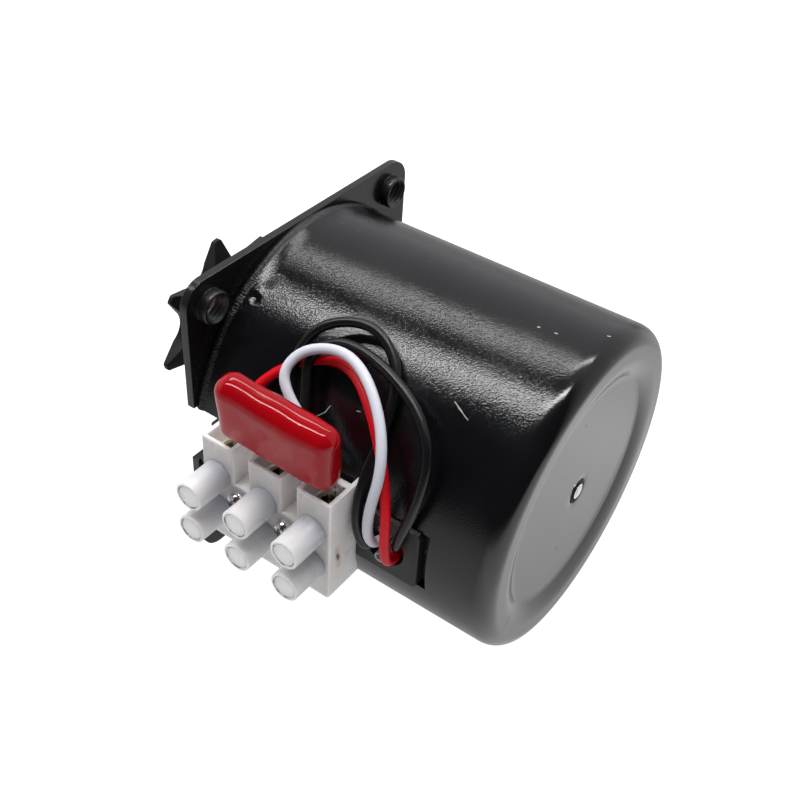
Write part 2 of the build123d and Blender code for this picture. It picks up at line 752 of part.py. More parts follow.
for unit_name, unit_front in (("front", stator_front), ("rear", stator_front + stator_unit)):
    unit_rear = unit_front + stator_unit
    bobbin_front = unit_front + claw_sheet
    bobbin_rear = unit_rear - claw_sheet

    leading_plate = claw_plate(unit_front, 1, 0)
    leading_plate.label = f"{unit_name}_stator_leading_claws"
    export_step(leading_plate, f"parts/{leading_plate.label}.step")

    trailing_plate = claw_plate(unit_rear, -1, 180 / claw_count)
    trailing_plate.label = f"{unit_name}_stator_trailing_claws"
    export_step(trailing_plate, f"parts/{trailing_plate.label}.step")

    with BuildPart() as bobbin:
        with BuildSketch(station(bobbin_rear)):
            Circle(bobbin_radius)
        extrude(amount=bobbin_rear - bobbin_front)
        with BuildSketch(station(bobbin_rear - bobbin_wall)):
            Circle(2 * bobbin_radius)
            Circle(bobbin_tube_radius, mode=Mode.SUBTRACT)
        extrude(amount=bobbin_rear - bobbin_front - 2 * bobbin_wall, mode=Mode.SUBTRACT)
        with BuildSketch(station(bobbin_rear)):
            Circle(bobbin_bore_radius)
        extrude(amount=bobbin_rear - bobbin_front, mode=Mode.SUBTRACT)
    bobbin.part.label = f"{unit_name}_bobbin"
    export_step(bobbin.part, f"parts/{bobbin.part.label}.step")

    with BuildPart() as winding:
        with BuildSketch(station(bobbin_rear - bobbin_wall - fit_clearance)):
            Circle(bobbin_radius - winding_inset)
            Circle(bobbin_tube_radius + fit_clearance, mode=Mode.SUBTRACT)
        extrude(amount=bobbin_rear - bobbin_front - 2 * bobbin_wall - 2 * fit_clearance)
    winding.part.label = f"{unit_name}_winding"
    export_step(winding.part, f"parts/{winding.part.label}.step")

# Terminal carrier: moulded strip that fills the can's slot, with a hole for the leads
carrier_middle = (carrier_front + carrier_rear) / 2
flange_length = carrier_rear + carrier_flange_reach - carrier_front
with BuildPart() as terminal_carrier:
    with BuildSketch(Plane.YZ.offset(carrier_flange_top)):
        with Locations((carrier_middle, 0)):
            RectangleRounded(
                carrier_rear - carrier_front, slot_width - 2 * slide_clearance, slot_corner_radius
            )
    extrude(amount=carrier_face - carrier_flange_top)
    with BuildSketch(Plane.YZ.offset(carrier_flange_floor)):
        with Locations((carrier_front + flange_length / 2, 0)):
            Rectangle(flange_length, carrier_flange_width)
    extrude(amount=carrier_flange_thickness)
    with BuildSketch(Plane.YZ.offset(carrier_flange_floor)):
        with Locations((lead_hole_y, lead_hole_z)):
            Circle(lead_hole_diameter / 2)
        with Locations(*fixing_places):
            Circle(fixing_screw_diameter / 2 + fit_clearance)
    extrude(amount=carrier_face - carrier_flange_floor, mode=Mode.SUBTRACT)
terminal_carrier.part.label = "terminal_carrier"
export_step(terminal_carrier.part, "parts/terminal_carrier.step")

# Terminal block: three hollow poles on a web, with two screw tubes on each pole
with BuildPart() as terminal_block:
    with BuildSketch(Plane.XY.offset(-block_top)) as pole_outlines:
        with Locations(*[(carrier_face + block_depth / 2, pole) for pole in poles]):
            Rectangle(block_depth, pole_width)
        fillet(pole_outlines.vertices().group_by(Axis.X)[-1], radius=block_round)
    extrude(amount=block_height)
    with BuildSketch(Plane.YZ.offset(carrier_face)):
        with Locations((middle_pole_y, 0)):
            Rectangle(pole_pitch * (pole_count - 1), web_height)
    extrude(amount=web_thickness)
    with BuildSketch(Plane.YZ.offset(carrier_face)):
        with Locations(*fixing_places):
            Circle(boss_diameter / 2)
    extrude(amount=block_depth)
    for pole in poles:
        with BuildSketch(Plane.XZ.offset(-pole - pole_width / 2)):
            for side in (1, -1):
                Polygon(
                    (carrier_face, side * slot_width / 2),
                    (carrier_face - foot_reach, side * block_top),
                    (carrier_face + entry_back_wall, side * block_top),
                    (carrier_face + entry_back_wall, side * slot_width / 2),
                    align=None,
                )
        extrude(amount=pole_width)
    with BuildSketch(Plane.YZ.offset(sleeve_x)):
        with Locations(*screw_places):
            Circle(tube_diameter / 2)
    extrude(amount=tube_end - sleeve_x)
    tube_rims = terminal_block.edges().filter_by(GeomType.CIRCLE).group_by(Axis.X)[-1]
    fillet(tube_rims, radius=tube_round)
    with BuildSketch(Plane.YZ.offset(sleeve_x)):
        with Locations(*screw_places):
            Circle(tube_bore / 2)
    extrude(amount=tube_end - sleeve_x, mode=Mode.SUBTRACT)
    with BuildSketch(Plane.YZ.offset(carrier_face)):
        with Locations(*fixing_places):
            Circle(fixing_screw_diameter / 2 + fit_clearance)
    extrude(amount=block_depth, mode=Mode.SUBTRACT)
    with BuildSketch(Plane.XY.offset(-block_top)):
        with Locations(*[(sleeve_x, pole) for pole in poles]):
            Circle(sleeve_diameter / 2 + fit_clearance)
    extrude(amount=block_height, mode=Mode.SUBTRACT)
    for side in (1, -1):
        with BuildSketch(Plane.XY.offset(side * (sleeve_length / 2 + fit_clearance))):
            with Locations(*[(carrier_face + entry_back_wall + entry_depth / 2, pole) for pole in poles]):
                Rectangle(entry_depth, entry_width)
        extrude(amount=side * block_top, mode=Mode.SUBTRACT)
        with BuildSketch(Plane.XY.offset(side * (block_top - entry_back_drop))):
            with Locations(*[(carrier_face, pole) for pole in poles]):
                Rectangle(entry_depth, entry_width)
        extrude(amount=side * block_top, mode=Mode.SUBTRACT)
terminal_block.part.label = "terminal_block"
export_step(terminal_block.part, "parts/terminal_block.step")

# Terminal sleeves: one brass tube through each pole, cross-drilled for its two clamp screws
with BuildPart() as terminal_sleeves:
    with BuildSketch(Plane.XY.offset(-sleeve_length / 2)):
        with Locations(*[(sleeve_x, pole) for pole in poles]):
            Circle(sleeve_diameter / 2)
            Circle(sleeve_bore / 2, mode=Mode.SUBTRACT)
    extrude(amount=sleeve_length)
    with BuildSketch(Plane.YZ.offset(sleeve_x)):
        with Locations(*screw_places):
            Circle(clamp_screw_diameter / 2 + fit_clearance)
    extrude(amount=sleeve_diameter, mode=Mode.SUBTRACT)
terminal_sleeves.part.label = "terminal_sleeves"
export_step(terminal_sleeves.part, "parts/terminal_sleeves.step")

# Clamp screws: two to a pole, sunk in their tubes
clamp_screw_tip = sleeve_x - clamp_screw_tip_offset
clamp_screw_top = sleeve_x + clamp_screw_head_offset
with BuildPart() as terminal_clamp_screws:
    with BuildSketch(Plane.YZ.offset(clamp_screw_tip)):
        with Locations(*screw_places):
            Circle(clamp_screw_diameter / 2)
    extrude(amount=clamp_screw_top - clamp_screw_tip)
    with BuildSketch(Plane.YZ.offset(clamp_screw_top)):
        with Locations(*screw_places):
            Circle(clamp_screw_head_diameter / 2)
    extrude(amount=-clamp_screw_head_height)
    with BuildSketch(Plane.YZ.offset(clamp_screw_top)):
        with Locations(*screw_places):
            Rectangle(clamp_screw_head_diameter, screw_slot_width)
    extrude(amount=-screw_slot_depth, mode=Mode.SUBTRACT)
terminal_clamp_screws.part.label = "terminal_clamp_screws"
export_step(terminal_clamp_screws.part, "parts/terminal_clamp_screws.step")

# Tube plugs: a disc in the mouth of each tube, over its clamp screw
with BuildPart() as terminal_plugs:
    with BuildSketch(Plane.YZ.offset(tube_end - plug_sink)):
        with Locations(*screw_places):
            Circle(tube_bore / 2 - fit_clearance)
    extrude(amount=-plug_thickness)
terminal_plugs.part.label = "terminal_plugs"
export_step(terminal_plugs.part, "parts/terminal_plugs.step")

# Fixing screws: two domed screws that hold the block to the carrier, between the poles
fixing_screw_seat = block_front
with BuildPart() as terminal_fixing_screws:
    with BuildSketch(Plane.YZ.offset(fixing_screw_seat)):
        with Locations(*fixing_places):
            Circle(fixing_screw_head_diameter / 2)
    extrude(amount=fixing_screw_head_height)
    head_rims = terminal_fixing_screws.edges().filter_by(GeomType.CIRCLE).group_by(Axis.X)[-1]
    fillet(head_rims, radius=fixing_screw_head_round)
    with BuildSketch(Plane.YZ.offset(fixing_screw_seat)):
        with Locations(*fixing_places):
            Circle(fixing_screw_diameter / 2)
    extrude(amount=-fixing_screw_depth)
    for turn in (0, 90):
        with BuildSketch(Plane.YZ.offset(fixing_screw_seat + fixing_screw_head_height)):
            with Locations(*fixing_places):
                Rectangle(fixing_screw_diameter, screw_slot_width, rotation=turn)
        extrude(amount=-screw_slot_depth, mode=Mode.SUBTRACT)
terminal_fixing_screws.part.label = "terminal_fixing_screws"
export_step(terminal_fixing_screws.part, "parts/terminal_fixing_screws.step")

# Capacitor: dipped body with rounded edges and a root hole for each wire leg
leg_places = [(0, -leg_pitch / 2), (0, leg_pitch / 2)]
leg_root_z = leg_root_depth - capacitor_height / 2
with BuildPart(capacitor_plane) as capacitor_body:
    Box(capacitor_thickness, capacitor_length, capacitor_height)
    fillet(capacitor_body.edges(), radius=capacitor_round)
    with BuildSketch(capacitor_plane.offset(leg_root_z)):
        with Locations(*leg_places):
            Circle(leg_diameter / 2 + fit_clearance)
    extrude(amount=-leg_root_depth, mode=Mode.SUBTRACT)
capacitor_body.part.label = "capacitor_body"
export_step(capacitor_body.part, "parts/capacitor_body.step")

with BuildPart() as capacitor_legs:
    for place, pole in zip(leg_places, (poles[0], poles[-1])):
        root = capacitor_plane.from_local_coords((*place, leg_root_z))
        drop = capacitor_plane.from_local_coords((*place, -capacitor_height / 2 - leg_drop))
        leg_route = [
            root,
            drop,
            (wire_x, pole + leg_side, block_top - leg_bend_height),
            (wire_x, pole + leg_side, sleeve_length / 2 - leg_depth),
        ]
        add(wire_along("capacitor leg", leg_route, leg_diameter))
capacitor_legs.part.label = "capacitor_legs"
export_step(capacitor_legs.part, "parts/capacitor_legs.step")

# Leads: four insulated wires, with their bare ends bent in towards the sleeves
lead_routes = [
    ("red_lead", red_route, poles[0] - conductor_side, -single_splay),
    ("white_lead", white_route, poles[2] - conductor_side, -single_splay),
    ("outer_black_lead", outer_black_route, poles[1] - conductor_side, -double_splay),
    ("inner_black_lead", inner_black_route, poles[1] + conductor_side, double_splay),
]
for lead_name, lead_route, conductor_y, splay in lead_routes:
    lead = wire_along(lead_name, lead_route, lead_diameter)
    lead.label = lead_name
    export_step(lead, f"parts/{lead_name}.step")

with BuildPart() as lead_ends:
    for lead_name, lead_route, conductor_y, splay in lead_routes:
        conductor_route = [
            (wire_x, conductor_y + splay, sleeve_length / 2 + insulation_stop - conductor_gap),
            (wire_x, conductor_y, sleeve_length / 2 + conductor_straight),
            (wire_x, conductor_y, sleeve_length / 2 - conductor_depth),
        ]
        add(wire_along(f"{lead_name} bare end", conductor_route, conductor_diameter))
lead_ends.part.label = "lead_ends"
export_step(lead_ends.part, "parts/lead_ends.step")

# Clear sleeve: a short end of tubing that stands in the hole beside the leads
with BuildPart() as clear_sleeve:
    with BuildSketch(Plane.YZ.offset(carrier_flange_floor)):
        with Locations((lead_hole_y + clear_sleeve_along, lead_hole_z + clear_sleeve_up)):
            Circle(clear_sleeve_diameter / 2)
            Circle(clear_sleeve_bore / 2, mode=Mode.SUBTRACT)
    extrude(amount=clear_sleeve_length)
clear_sleeve.part.label = "clear_sleeve"
export_step(clear_sleeve.part, "parts/clear_sleeve.step")
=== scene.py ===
"""Synchronous gear motor with a chain sprocket, lying on its side on a pale floor.

Metres, in the frame of the solids: the terminal side is +X, the sprocket -Y and up +Z.
"""

import bmesh
import bpy
import numpy as np
from mathutils import Matrix, Vector


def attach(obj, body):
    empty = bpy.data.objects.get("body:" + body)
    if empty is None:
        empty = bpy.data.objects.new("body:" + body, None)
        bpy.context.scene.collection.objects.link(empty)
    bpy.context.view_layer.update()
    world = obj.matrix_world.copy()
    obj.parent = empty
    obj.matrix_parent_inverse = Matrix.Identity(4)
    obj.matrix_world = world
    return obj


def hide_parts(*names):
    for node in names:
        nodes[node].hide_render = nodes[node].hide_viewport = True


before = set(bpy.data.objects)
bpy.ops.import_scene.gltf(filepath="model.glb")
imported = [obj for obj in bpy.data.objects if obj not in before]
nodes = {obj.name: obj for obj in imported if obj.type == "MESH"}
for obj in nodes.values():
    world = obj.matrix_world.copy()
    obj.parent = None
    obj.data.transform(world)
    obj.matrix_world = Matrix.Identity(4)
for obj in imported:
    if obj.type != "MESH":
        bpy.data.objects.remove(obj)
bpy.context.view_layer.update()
mm = 0.001

# Mounting plate
# Square of sheet steel that closes the can's front, stoved black. Its edges are rounded by the press,
# and each corner has a collar drawn to the rear with a thread cut in it.
plate_front = 0.0
plate_rear = 1.5 * mm
plate_half = 30.1 * mm
plate_edge_round = 0.32 * mm
hole_place = 24.75 * mm
hole_radius = 2.5 * mm
collar_rear = 3.3 * mm
collar_radius = 3.6 * mm
collar_wall = 0.55 * mm
collar_dull = 0.14
collar_dull_run = 0.3 * mm
collar_places = np.array([(1, 1), (1, -1), (-1, 1), (-1, -1)]) * hole_place
thread_pitch = 0.8 * mm
thread_depth = 0.44 * mm
thread_inset = 0.1 * mm
thread_run_out = 1.0 / 9.0
thread_proud = 0.01 * mm
thread_sunk = 0.05 * mm


def shade(tree, kind, inputs=None, **fields):
    """Adds one shader node: fields are its own settings, inputs are values or sockets to link."""
    made = tree.nodes.new("ShaderNode" + kind)
    for field, value in fields.items():
        setattr(made, field, value)
    for name, value in (inputs or {}).items():
        if isinstance(value, bpy.types.NodeSocket):
            tree.links.new(value, made.inputs[name])
        else:
            made.inputs[name].default_value = value
    return made


def maths(tree, operation, *terms):
    """One Math node on numbers or sockets; gives its output socket."""
    return shade(tree, "Math", dict(enumerate(terms)), operation=operation).outputs[0]


def ramp(tree, value, start, stop, low, high, **fields):
    """One Map Range node that goes from low at start to high at stop, and no further."""
    ends = {0: value, 1: start, 2: stop, 3: low, 4: high}
    return shade(tree, "MapRange", ends, **fields).outputs[0]


def tint(tree, mask, under, over):
    """One Mix node on colours: under where the mask is nothing, over where it is one."""
    return shade(tree, "Mix", {0: mask, 6: under, 7: over}, data_type="RGBA").outputs[2]


def skin_group(name, inputs, outputs):
    """An empty shader node group with its named sockets; gives the group, its entry and its exit."""
    group = bpy.data.node_groups.new(name, "ShaderNodeTree")
    for label, kind, value in inputs:
        socket = group.interface.new_socket(label, in_out="INPUT", socket_type="NodeSocket" + kind)
        socket.default_value = value
    for label, kind in outputs:
        group.interface.new_socket(label, in_out="OUTPUT", socket_type="NodeSocket" + kind)
    return group, group.nodes.new("NodeGroupInput"), group.nodes.new("NodeGroupOutput")


def build_surface_skin():
    """Node group for a worked surface: cloudy patches between two colours, a roughness that wanders
    with them, fine grain for the bump and a few pale specks of dust."""
    group, entry, leave = skin_group(
        "surface_skin",
        [
            ("Place", "Vector", (0.0, 0.0, 0.0)),
            ("Colour", "Color", (0.5, 0.5, 0.5, 1.0)),
            ("Patch Colour", "Color", (0.4, 0.4, 0.4, 1.0)),
            ("Patch Scale", "Float", 90.0),
            ("Roughness", "Float", 0.4),
            ("Roughness Drift", "Float", 0.1),
            ("Grain Scale", "Float", 3000.0),
            ("Dust", "Float", 0.1),
            ("Dust Colour", "Color", (0.62, 0.6, 0.57, 1.0)),
        ],
        [("Colour", "Color"), ("Roughness", "Float"), ("Height", "Float")],
    )
    cloud_ends = (0.36, 0.66)
    speck_scale = 420.0
    speck_size = 0.13
    bare_share = 0.86
    speck_dull = 0.4
    given = entry.outputs
    noise = {"Vector": given["Place"], "Scale": given["Patch Scale"], "Detail": 4.0}
    cloud = ramp(group, shade(group, "TexNoise", noise).outputs["Fac"], *cloud_ends, 0.0, 1.0)
    noise = {"Vector": given["Place"], "Scale": given["Grain Scale"], "Detail": 2.0}
    grain = shade(group, "TexNoise", noise).outputs["Fac"]
    specks = shade(group, "TexVoronoi", {"Vector": given["Place"], "Scale": speck_scale})
    close = maths(group, "LESS_THAN", specks.outputs["Distance"], speck_size)
    draw = shade(group, "SeparateColor", {0: specks.outputs["Color"]}).outputs[0]
    rare = maths(group, "GREATER_THAN", draw, bare_share)
    speck = maths(group, "MULTIPLY", maths(group, "MULTIPLY", close, rare), given["Dust"])
    patched = tint(group, cloud, given["Colour"], given["Patch Colour"])
    dusted = tint(group, speck, patched, given["Dust Colour"])
    off_middle = maths(group, "SUBTRACT", cloud, 0.5)
    sheen = maths(group, "MULTIPLY_ADD", off_middle, given["Roughness Drift"], given["Roughness"])
    group.links.new(dusted, leave.inputs["Colour"])
    group.links.new(maths(group, "MULTIPLY_ADD", speck, speck_dull, sheen), leave.inputs["Roughness"])
    group.links.new(grain, leave.inputs["Height"])
    return group


surface_skin = build_surface_skin()


def shader_of(material):
    """The material's one shader."""
    return material.node_tree.nodes["Principled BSDF"]


def place_of(material):
    """The socket that gives the place of a point on the piece."""
    return material.node_tree.nodes["place"].outputs["Object"]


def finish_of(
    name, colour, patch_colour, roughness, grain=3000.0, depth=0.01, metallic=0.0, specular=0.5, **skin
):
    """A material with the surface skin: its colours, gloss, grain per metre and grain depth in mm.

    Further names are the skin's other inputs, such as dust or patch_scale.
    """
    material = bpy.data.materials.new(name)
    material.use_nodes = True
    tree = material.node_tree
    shader = shader_of(material)
    shader.inputs["Metallic"].default_value = metallic
    shader.inputs["Specular IOR Level"].default_value = specular
    values = {
        "Place": shade(tree, "TexCoord", name="place").outputs["Object"],
        "Colour": (*colour, 1.0),
        "Patch Colour": (*patch_colour, 1.0),
        "Roughness": roughness,
        "Grain Scale": grain,
    }
    values.update((label.replace("_", " ").title(), value) for label, value in skin.items())
    skin_node = shade(tree, "Group", values, node_tree=surface_skin, name="skin")
    grain_height = {"Height": skin_node.outputs["Height"], "Distance": depth * mm, "Strength": 1.0}
    bump = shade(tree, "Bump", grain_height, name="bump")
    tree.links.new(skin_node.outputs["Colour"], shader.inputs["Base Color"])
    tree.links.new(skin_node.outputs["Roughness"], shader.inputs["Roughness"])
    tree.links.new(bump.outputs[0], shader.inputs["Normal"])
    return material


def dress(piece, material):
    """Gives a piece one material for all its faces."""
    piece.data.materials.clear()
    piece.data.materials.append(material)


def smooth_object(name, mesh, crease):
    """An object for a mesh, smooth but for edges sharper than an angle in degrees."""
    mesh.polygons.foreach_set("use_smooth", np.ones(len(mesh.polygons), bool))
    mesh.set_sharp_from_angle(angle=np.radians(crease))
    piece = bpy.data.objects.new(name, mesh)
    bpy.context.scene.collection.objects.link(piece)
    return piece


def new_piece(name, points, faces):
    """A piece from arrays of points and faces, with its seams closed and its faces turned outwards."""
    seam = 0.0005 * mm
    mesh = bpy.data.meshes.new(name)
    mesh.from_pydata(points, [], faces)
    shell = bmesh.new()
    shell.from_mesh(mesh)
    bmesh.ops.remove_doubles(shell, verts=shell.verts, dist=seam)
    bmesh.ops.recalc_face_normals(shell, faces=shell.faces)
    shell.to_mesh(mesh)
    shell.free()
    return smooth_object(name, mesh, crease=35.0)


def rounded_copy(node, name, width, segments=2):
    """A copy of a solid with its loose triangles merged, its flats joined and its edges bevelled."""
    seam = 0.002 * mm
    flat = 0.6
    sharp = 40.0
    mesh = nodes[node].data.copy()
    mesh.name = name
    shell = bmesh.new()
    shell.from_mesh(mesh)
    bmesh.ops.remove_doubles(shell, verts=shell.verts, dist=seam)
    bmesh.ops.dissolve_limit(shell, angle_limit=np.radians(flat), verts=shell.verts, edges=shell.edges)
    shell.to_mesh(mesh)
    shell.free()
    piece = smooth_object(name, mesh, crease=sharp)
    bevel = piece.modifiers.new("rounded edges", "BEVEL")
    bevel.width = width
    bevel.segments = segments
    bevel.limit_method = "ANGLE"
    bevel.angle_limit = np.radians(sharp)
    bevel.harden_normals = False
    return piece


def turned(radius, along, angle):
    """Points turned about Y: (radius * cos(angle), along, radius * sin(angle)), angles by columns."""
    parts = np.broadcast_arrays(radius * np.cos(angle), along, radius * np.sin(angle))
    return np.stack(parts, axis=-1).reshape(-1, 3)


def cells_between(grid, closed=True):
    """Faces between the neighbours in a grid of point numbers, and back to its first column if closed."""
    if closed:
        grid = np.concatenate([grid, grid[:, :1]], axis=1)
    return np.stack([grid[:-1, :-1], grid[:-1, 1:], grid[1:, 1:], grid[1:, :-1]], axis=-1)


def thread_sleeve(centre_x, centre_z):
    """The thread of one collar: a tube whose inner radius falls to each crest and rises to each root.

    radius = bore - depth * (1 - |2 * fraction(turn + y / pitch) - 1|), on a grid of turns and steps in y.
    The depth runs out to nothing at both mouths, and the outer wall lies in the steel round the bore.
    """
    turn = np.linspace(0.0, 1.0, 49)[:-1]
    steps = np.linspace(0.0, 1.0, 45)[:, None]
    along = plate_front + thread_inset + steps * (collar_rear - plate_front - 2.0 * thread_inset)
    phase = np.mod(turn + along / thread_pitch, 1.0)
    taper = np.clip(np.minimum(steps, 1.0 - steps) / thread_run_out, 0.0, 1.0)
    inner = hole_radius - thread_depth * taper * (1.0 - np.abs(2.0 * phase - 1.0)) - thread_proud
    outer = np.full_like(inner, hole_radius + thread_sunk)
    walls = [turned(radius, along, 2.0 * np.pi * turn) for radius in (inner, outer)]
    grid = np.arange(2 * inner.size).reshape(2, *inner.shape)
    loop = np.concatenate([grid[0], grid[1, ::-1], grid[0, :1]])
    return np.concatenate(walls) + (centre_x, 0.0, centre_z), cells_between(loop).reshape(-1, 4)


def slim_collars(mesh):
    """Draws the collars' outer walls in to the thin wall that pressing leaves.

    radius = bore + (radius - bore) * wall / (collar radius - bore), for points outside a bore and behind
    the sheet.
    """
    near = 0.02 * mm
    points = np.empty(3 * len(mesh.vertices))
    mesh.vertices.foreach_get("co", points)
    points = points.reshape(-1, 3)
    for place in collar_places:
        aside = points[:, [0, 2]] - place
        reach = np.linalg.norm(aside, axis=1)
        on_wall = (reach > hole_radius + near) & (reach < collar_radius + near)
        on_wall &= points[:, 1] > plate_rear - near
        slim = hole_radius + (reach - hole_radius) * collar_wall / (collar_radius - hole_radius)
        share = np.where(on_wall, slim / np.maximum(reach, near), 1.0)
        points[:, [0, 2]] = place + aside * share[:, None]
    mesh.vertices.foreach_set("co", points.ravel())


plate_paint = finish_of(
    "plate_paint", (0.007, 0.007, 0.008), (0.010, 0.010, 0.011), 0.2, depth=0.008, dust=0.05
)
plate_tree = plate_paint.node_tree
plate_y = shade(plate_tree, "SeparateXYZ", {0: place_of(plate_paint)}).outputs["Y"]
duller = ramp(plate_tree, plate_y, plate_rear, plate_rear + collar_dull_run, 0.0, collar_dull)
plate_sheen = maths(plate_tree, "ADD", plate_tree.nodes["skin"].outputs["Roughness"], duller)
plate_tree.links.new(plate_sheen, shader_of(plate_paint).inputs["Roughness"])
plate = rounded_copy("mounting_plate", "plate_sheet", plate_edge_round, segments=3)
slim_collars(plate.data)
dress(plate, plate_paint)
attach(plate, "housing")
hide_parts("mounting_plate")

thread_steel = finish_of(
    "thread_steel", (0.09, 0.09, 0.095), (0.05, 0.05, 0.053), 0.34, metallic=0.7, grain=2500.0, dust=0.0
)
thread_points = []
thread_faces = []
for collar, place in enumerate(collar_places):
    points, faces = thread_sleeve(*place)
    thread_points.append(points)
    thread_faces.append(faces + collar * len(points))
threads = new_piece("collar_threads", np.concatenate(thread_points), np.concatenate(thread_faces))
dress(threads, thread_steel)
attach(threads, "housing")

# Motor can
# Deep-drawn steel cup, painted glossy black over a pebbled ground. A crimped bead holds its mouth to the
# plate, its rear edge is rounded, and a disc with a hole for the axle is sunk in its rear wall.
can_radius = 30.0 * mm
can_front = plate_rear
can_rear = 61.8 * mm
can_wall = 0.8 * mm
can_edge = 3.4 * mm
can_edge_in = 2.9 * mm
bead_end = 3.2 * mm
bead_swell = 0.34 * mm
bead_clear = 0.02 * mm
recess_brow = 25.1 * mm
recess_foot = 21.2 * mm
disc_face = 60.6 * mm
axle_well = 2.55 * mm
axle_well_depth = 0.7 * mm
axle_hole = 1.5 * mm
slot_half = 6.0 * mm
slot_end = 50.0 * mm


def can_shell():
    """The can as an outer and an inner profile turned about Y, joined at the mouth, hole and slot.

    Each profile is runs of radius and place along Y: the crimped bead, half a sine high where the plate
    leaves room for it, the side, a quarter ellipse at the rear edge, the rim, a recess whose wall leaves
    the disc at once and eases into the rim, depth * (1 - (1 - share)^2), the disc, and a round well at
    the axle. Columns that bound the slot stand at plus and minus asin(slot half width over radius), and
    cells between them in front of its end go.
    """
    bead = np.linspace(0.0, 1.0, 9)
    side_front = np.linspace(bead_end, slot_end, 17)[1:]
    side_rear = np.linspace(slot_end, can_rear - can_edge, 6)[1:]
    side_y = np.concatenate([side_front, side_rear])
    edge = np.linspace(0.0, np.pi / 2.0, 15)[1:]
    rim_r = np.linspace(can_radius - can_edge_in, recess_brow, 4)[1:]
    wall = np.linspace(1.0, 0.0, 19)[1:]
    disc_r = np.linspace(recess_foot, axle_well, 14)[1:]
    well = np.array([0.08, 0.16, 0.26, 0.36, 0.5, 0.75, 1.0])
    well_drop = np.array([0.04, 0.16, 0.5, 0.9, 1.0, 1.0, 1.0])
    outer_r = np.concatenate(
        [
            np.full(len(bead) + len(side_y), can_radius),
            can_radius - can_edge_in + can_edge_in * np.cos(edge),
            rim_r,
            recess_foot + wall * (recess_brow - recess_foot),
            disc_r,
            axle_well + well * (axle_hole - axle_well),
        ]
    )
    outer_y = np.concatenate(
        [
            can_front + bead * (bead_end - can_front),
            side_y,
            can_rear - can_edge + can_edge * np.sin(edge),
            np.full(len(rim_r), can_rear),
            disc_face + (can_rear - disc_face) * (1.0 - (1.0 - wall) ** 2),
            np.full(len(disc_r), disc_face),
            disc_face - well_drop * axle_well_depth,
        ]
    )
    straight = slice(0, len(bead) + len(side_y))
    curved = slice(straight.stop, straight.stop + len(edge))
    inner_r = outer_r.copy()
    inner_r[straight] = can_radius - can_wall
    inner_r[curved] = can_radius - can_edge_in + (can_edge_in - can_wall) * np.cos(edge)
    inner_y = outer_y - can_wall
    inner_y[straight] = outer_y[straight]
    inner_y[curved] = can_rear - can_edge + (can_edge - can_wall) * np.sin(edge)
    half_angle = np.arcsin(slot_half / can_radius)
    around = np.linspace(half_angle, 2.0 * np.pi - half_angle, 229)
    across = np.linspace(-half_angle, half_angle, 15)[1:-1]
    angle = np.concatenate([around, across])
    bead_room = plate_half / np.maximum(np.abs(np.cos(angle)), np.abs(np.sin(angle))) - can_radius
    swell = np.zeros((2 * len(outer_r), len(angle)))
    swell[: len(bead)] = np.sin(np.pi * bead)[:, None] * np.minimum(bead_swell, bead_room - bead_clear)
    radius = np.concatenate([outer_r, inner_r])[:, None] + swell
    along = np.concatenate([outer_y, inner_y])[:, None]
    rows, columns = len(outer_r), len(angle)
    outer, inner = np.arange(2 * rows * columns).reshape(2, rows, columns)

    # The two skins, open at the slot.
    slot_row = len(bead) + len(side_front) - 1
    slot_column = len(around) - 1
    mouth_columns, slot_columns = slice(0, slot_column), slice(slot_column, None)
    solid = np.ones((rows - 1, columns), bool)
    solid[:slot_row, slot_columns] = False
    faces = [cells_between(skin)[solid] for skin in (outer, inner)]

    # The lips that join them: the mouth, the slot's end and the axle's hole, then the slot's two sides.
    for row, kept in ((0, mouth_columns), (slot_row, slot_columns), (rows - 1, slice(None))):
        lip = np.stack([outer[row], inner[row]])
        faces.append(cells_between(lip)[0, kept])
    for column in (0, slot_column):
        lip = np.stack([outer[: slot_row + 1, column], inner[: slot_row + 1, column]])
        faces.append(cells_between(lip, closed=False)[0])
    return turned(radius, along, angle), np.concatenate(faces)


def build_line_mark():
    """Node group for one narrow mark: how near a place is to the line from one point to another.

    share = clamp((place - from) . (to - from) / |to - from|^2), and the mask falls smoothly from one to
    nothing as the distance from the place to from + share * (to - from) goes from nothing to the width.
    """
    group, entry, leave = skin_group(
        "line_mark",
        [
            ("Place", "Vector", (0.0, 0.0, 0.0)),
            ("From", "Vector", (0.0, 0.0, 0.0)),
            ("To", "Vector", (0.0, 0.0, 0.001)),
            ("Width", "Float", 0.0002),
        ],
        [("Mask", "Float")],
    )

    def vector_maths(operation, first, second):
        """One Vector Math node on two vectors; gives its outputs, Vector and Value."""
        return shade(group, "VectorMath", {0: first, 1: second}, operation=operation).outputs

    reach = vector_maths("SUBTRACT", entry.outputs["Place"], entry.outputs["From"])["Vector"]
    run = vector_maths("SUBTRACT", entry.outputs["To"], entry.outputs["From"])["Vector"]
    along = vector_maths("DOT_PRODUCT", reach, run)["Value"]
    square = vector_maths("DOT_PRODUCT", run, run)["Value"]
    share = shade(group, "Clamp", {0: maths(group, "DIVIDE", along, square)}).outputs[0]
    step = shade(group, "VectorMath", {0: run, "Scale": share}, operation="SCALE").outputs["Vector"]
    away = vector_maths("DISTANCE", reach, step)["Value"]
    mask = ramp(group, away, 0.0, entry.outputs["Width"], 1.0, 0.0, interpolation_type="SMOOTHSTEP")
    group.links.new(mask, leave.inputs["Mask"])
    return group


line_mark = build_line_mark()


def mark_on(material, start, stop, width):
    """The mask of one narrow mark on a material, from two points and a width in millimetres."""
    values = {
        "Place": place_of(material),
        "From": np.array(start) * mm,
        "To": np.array(stop) * mm,
        "Width": width * mm,
    }
    return shade(material.node_tree, "Group", values, node_tree=line_mark).outputs["Mask"]


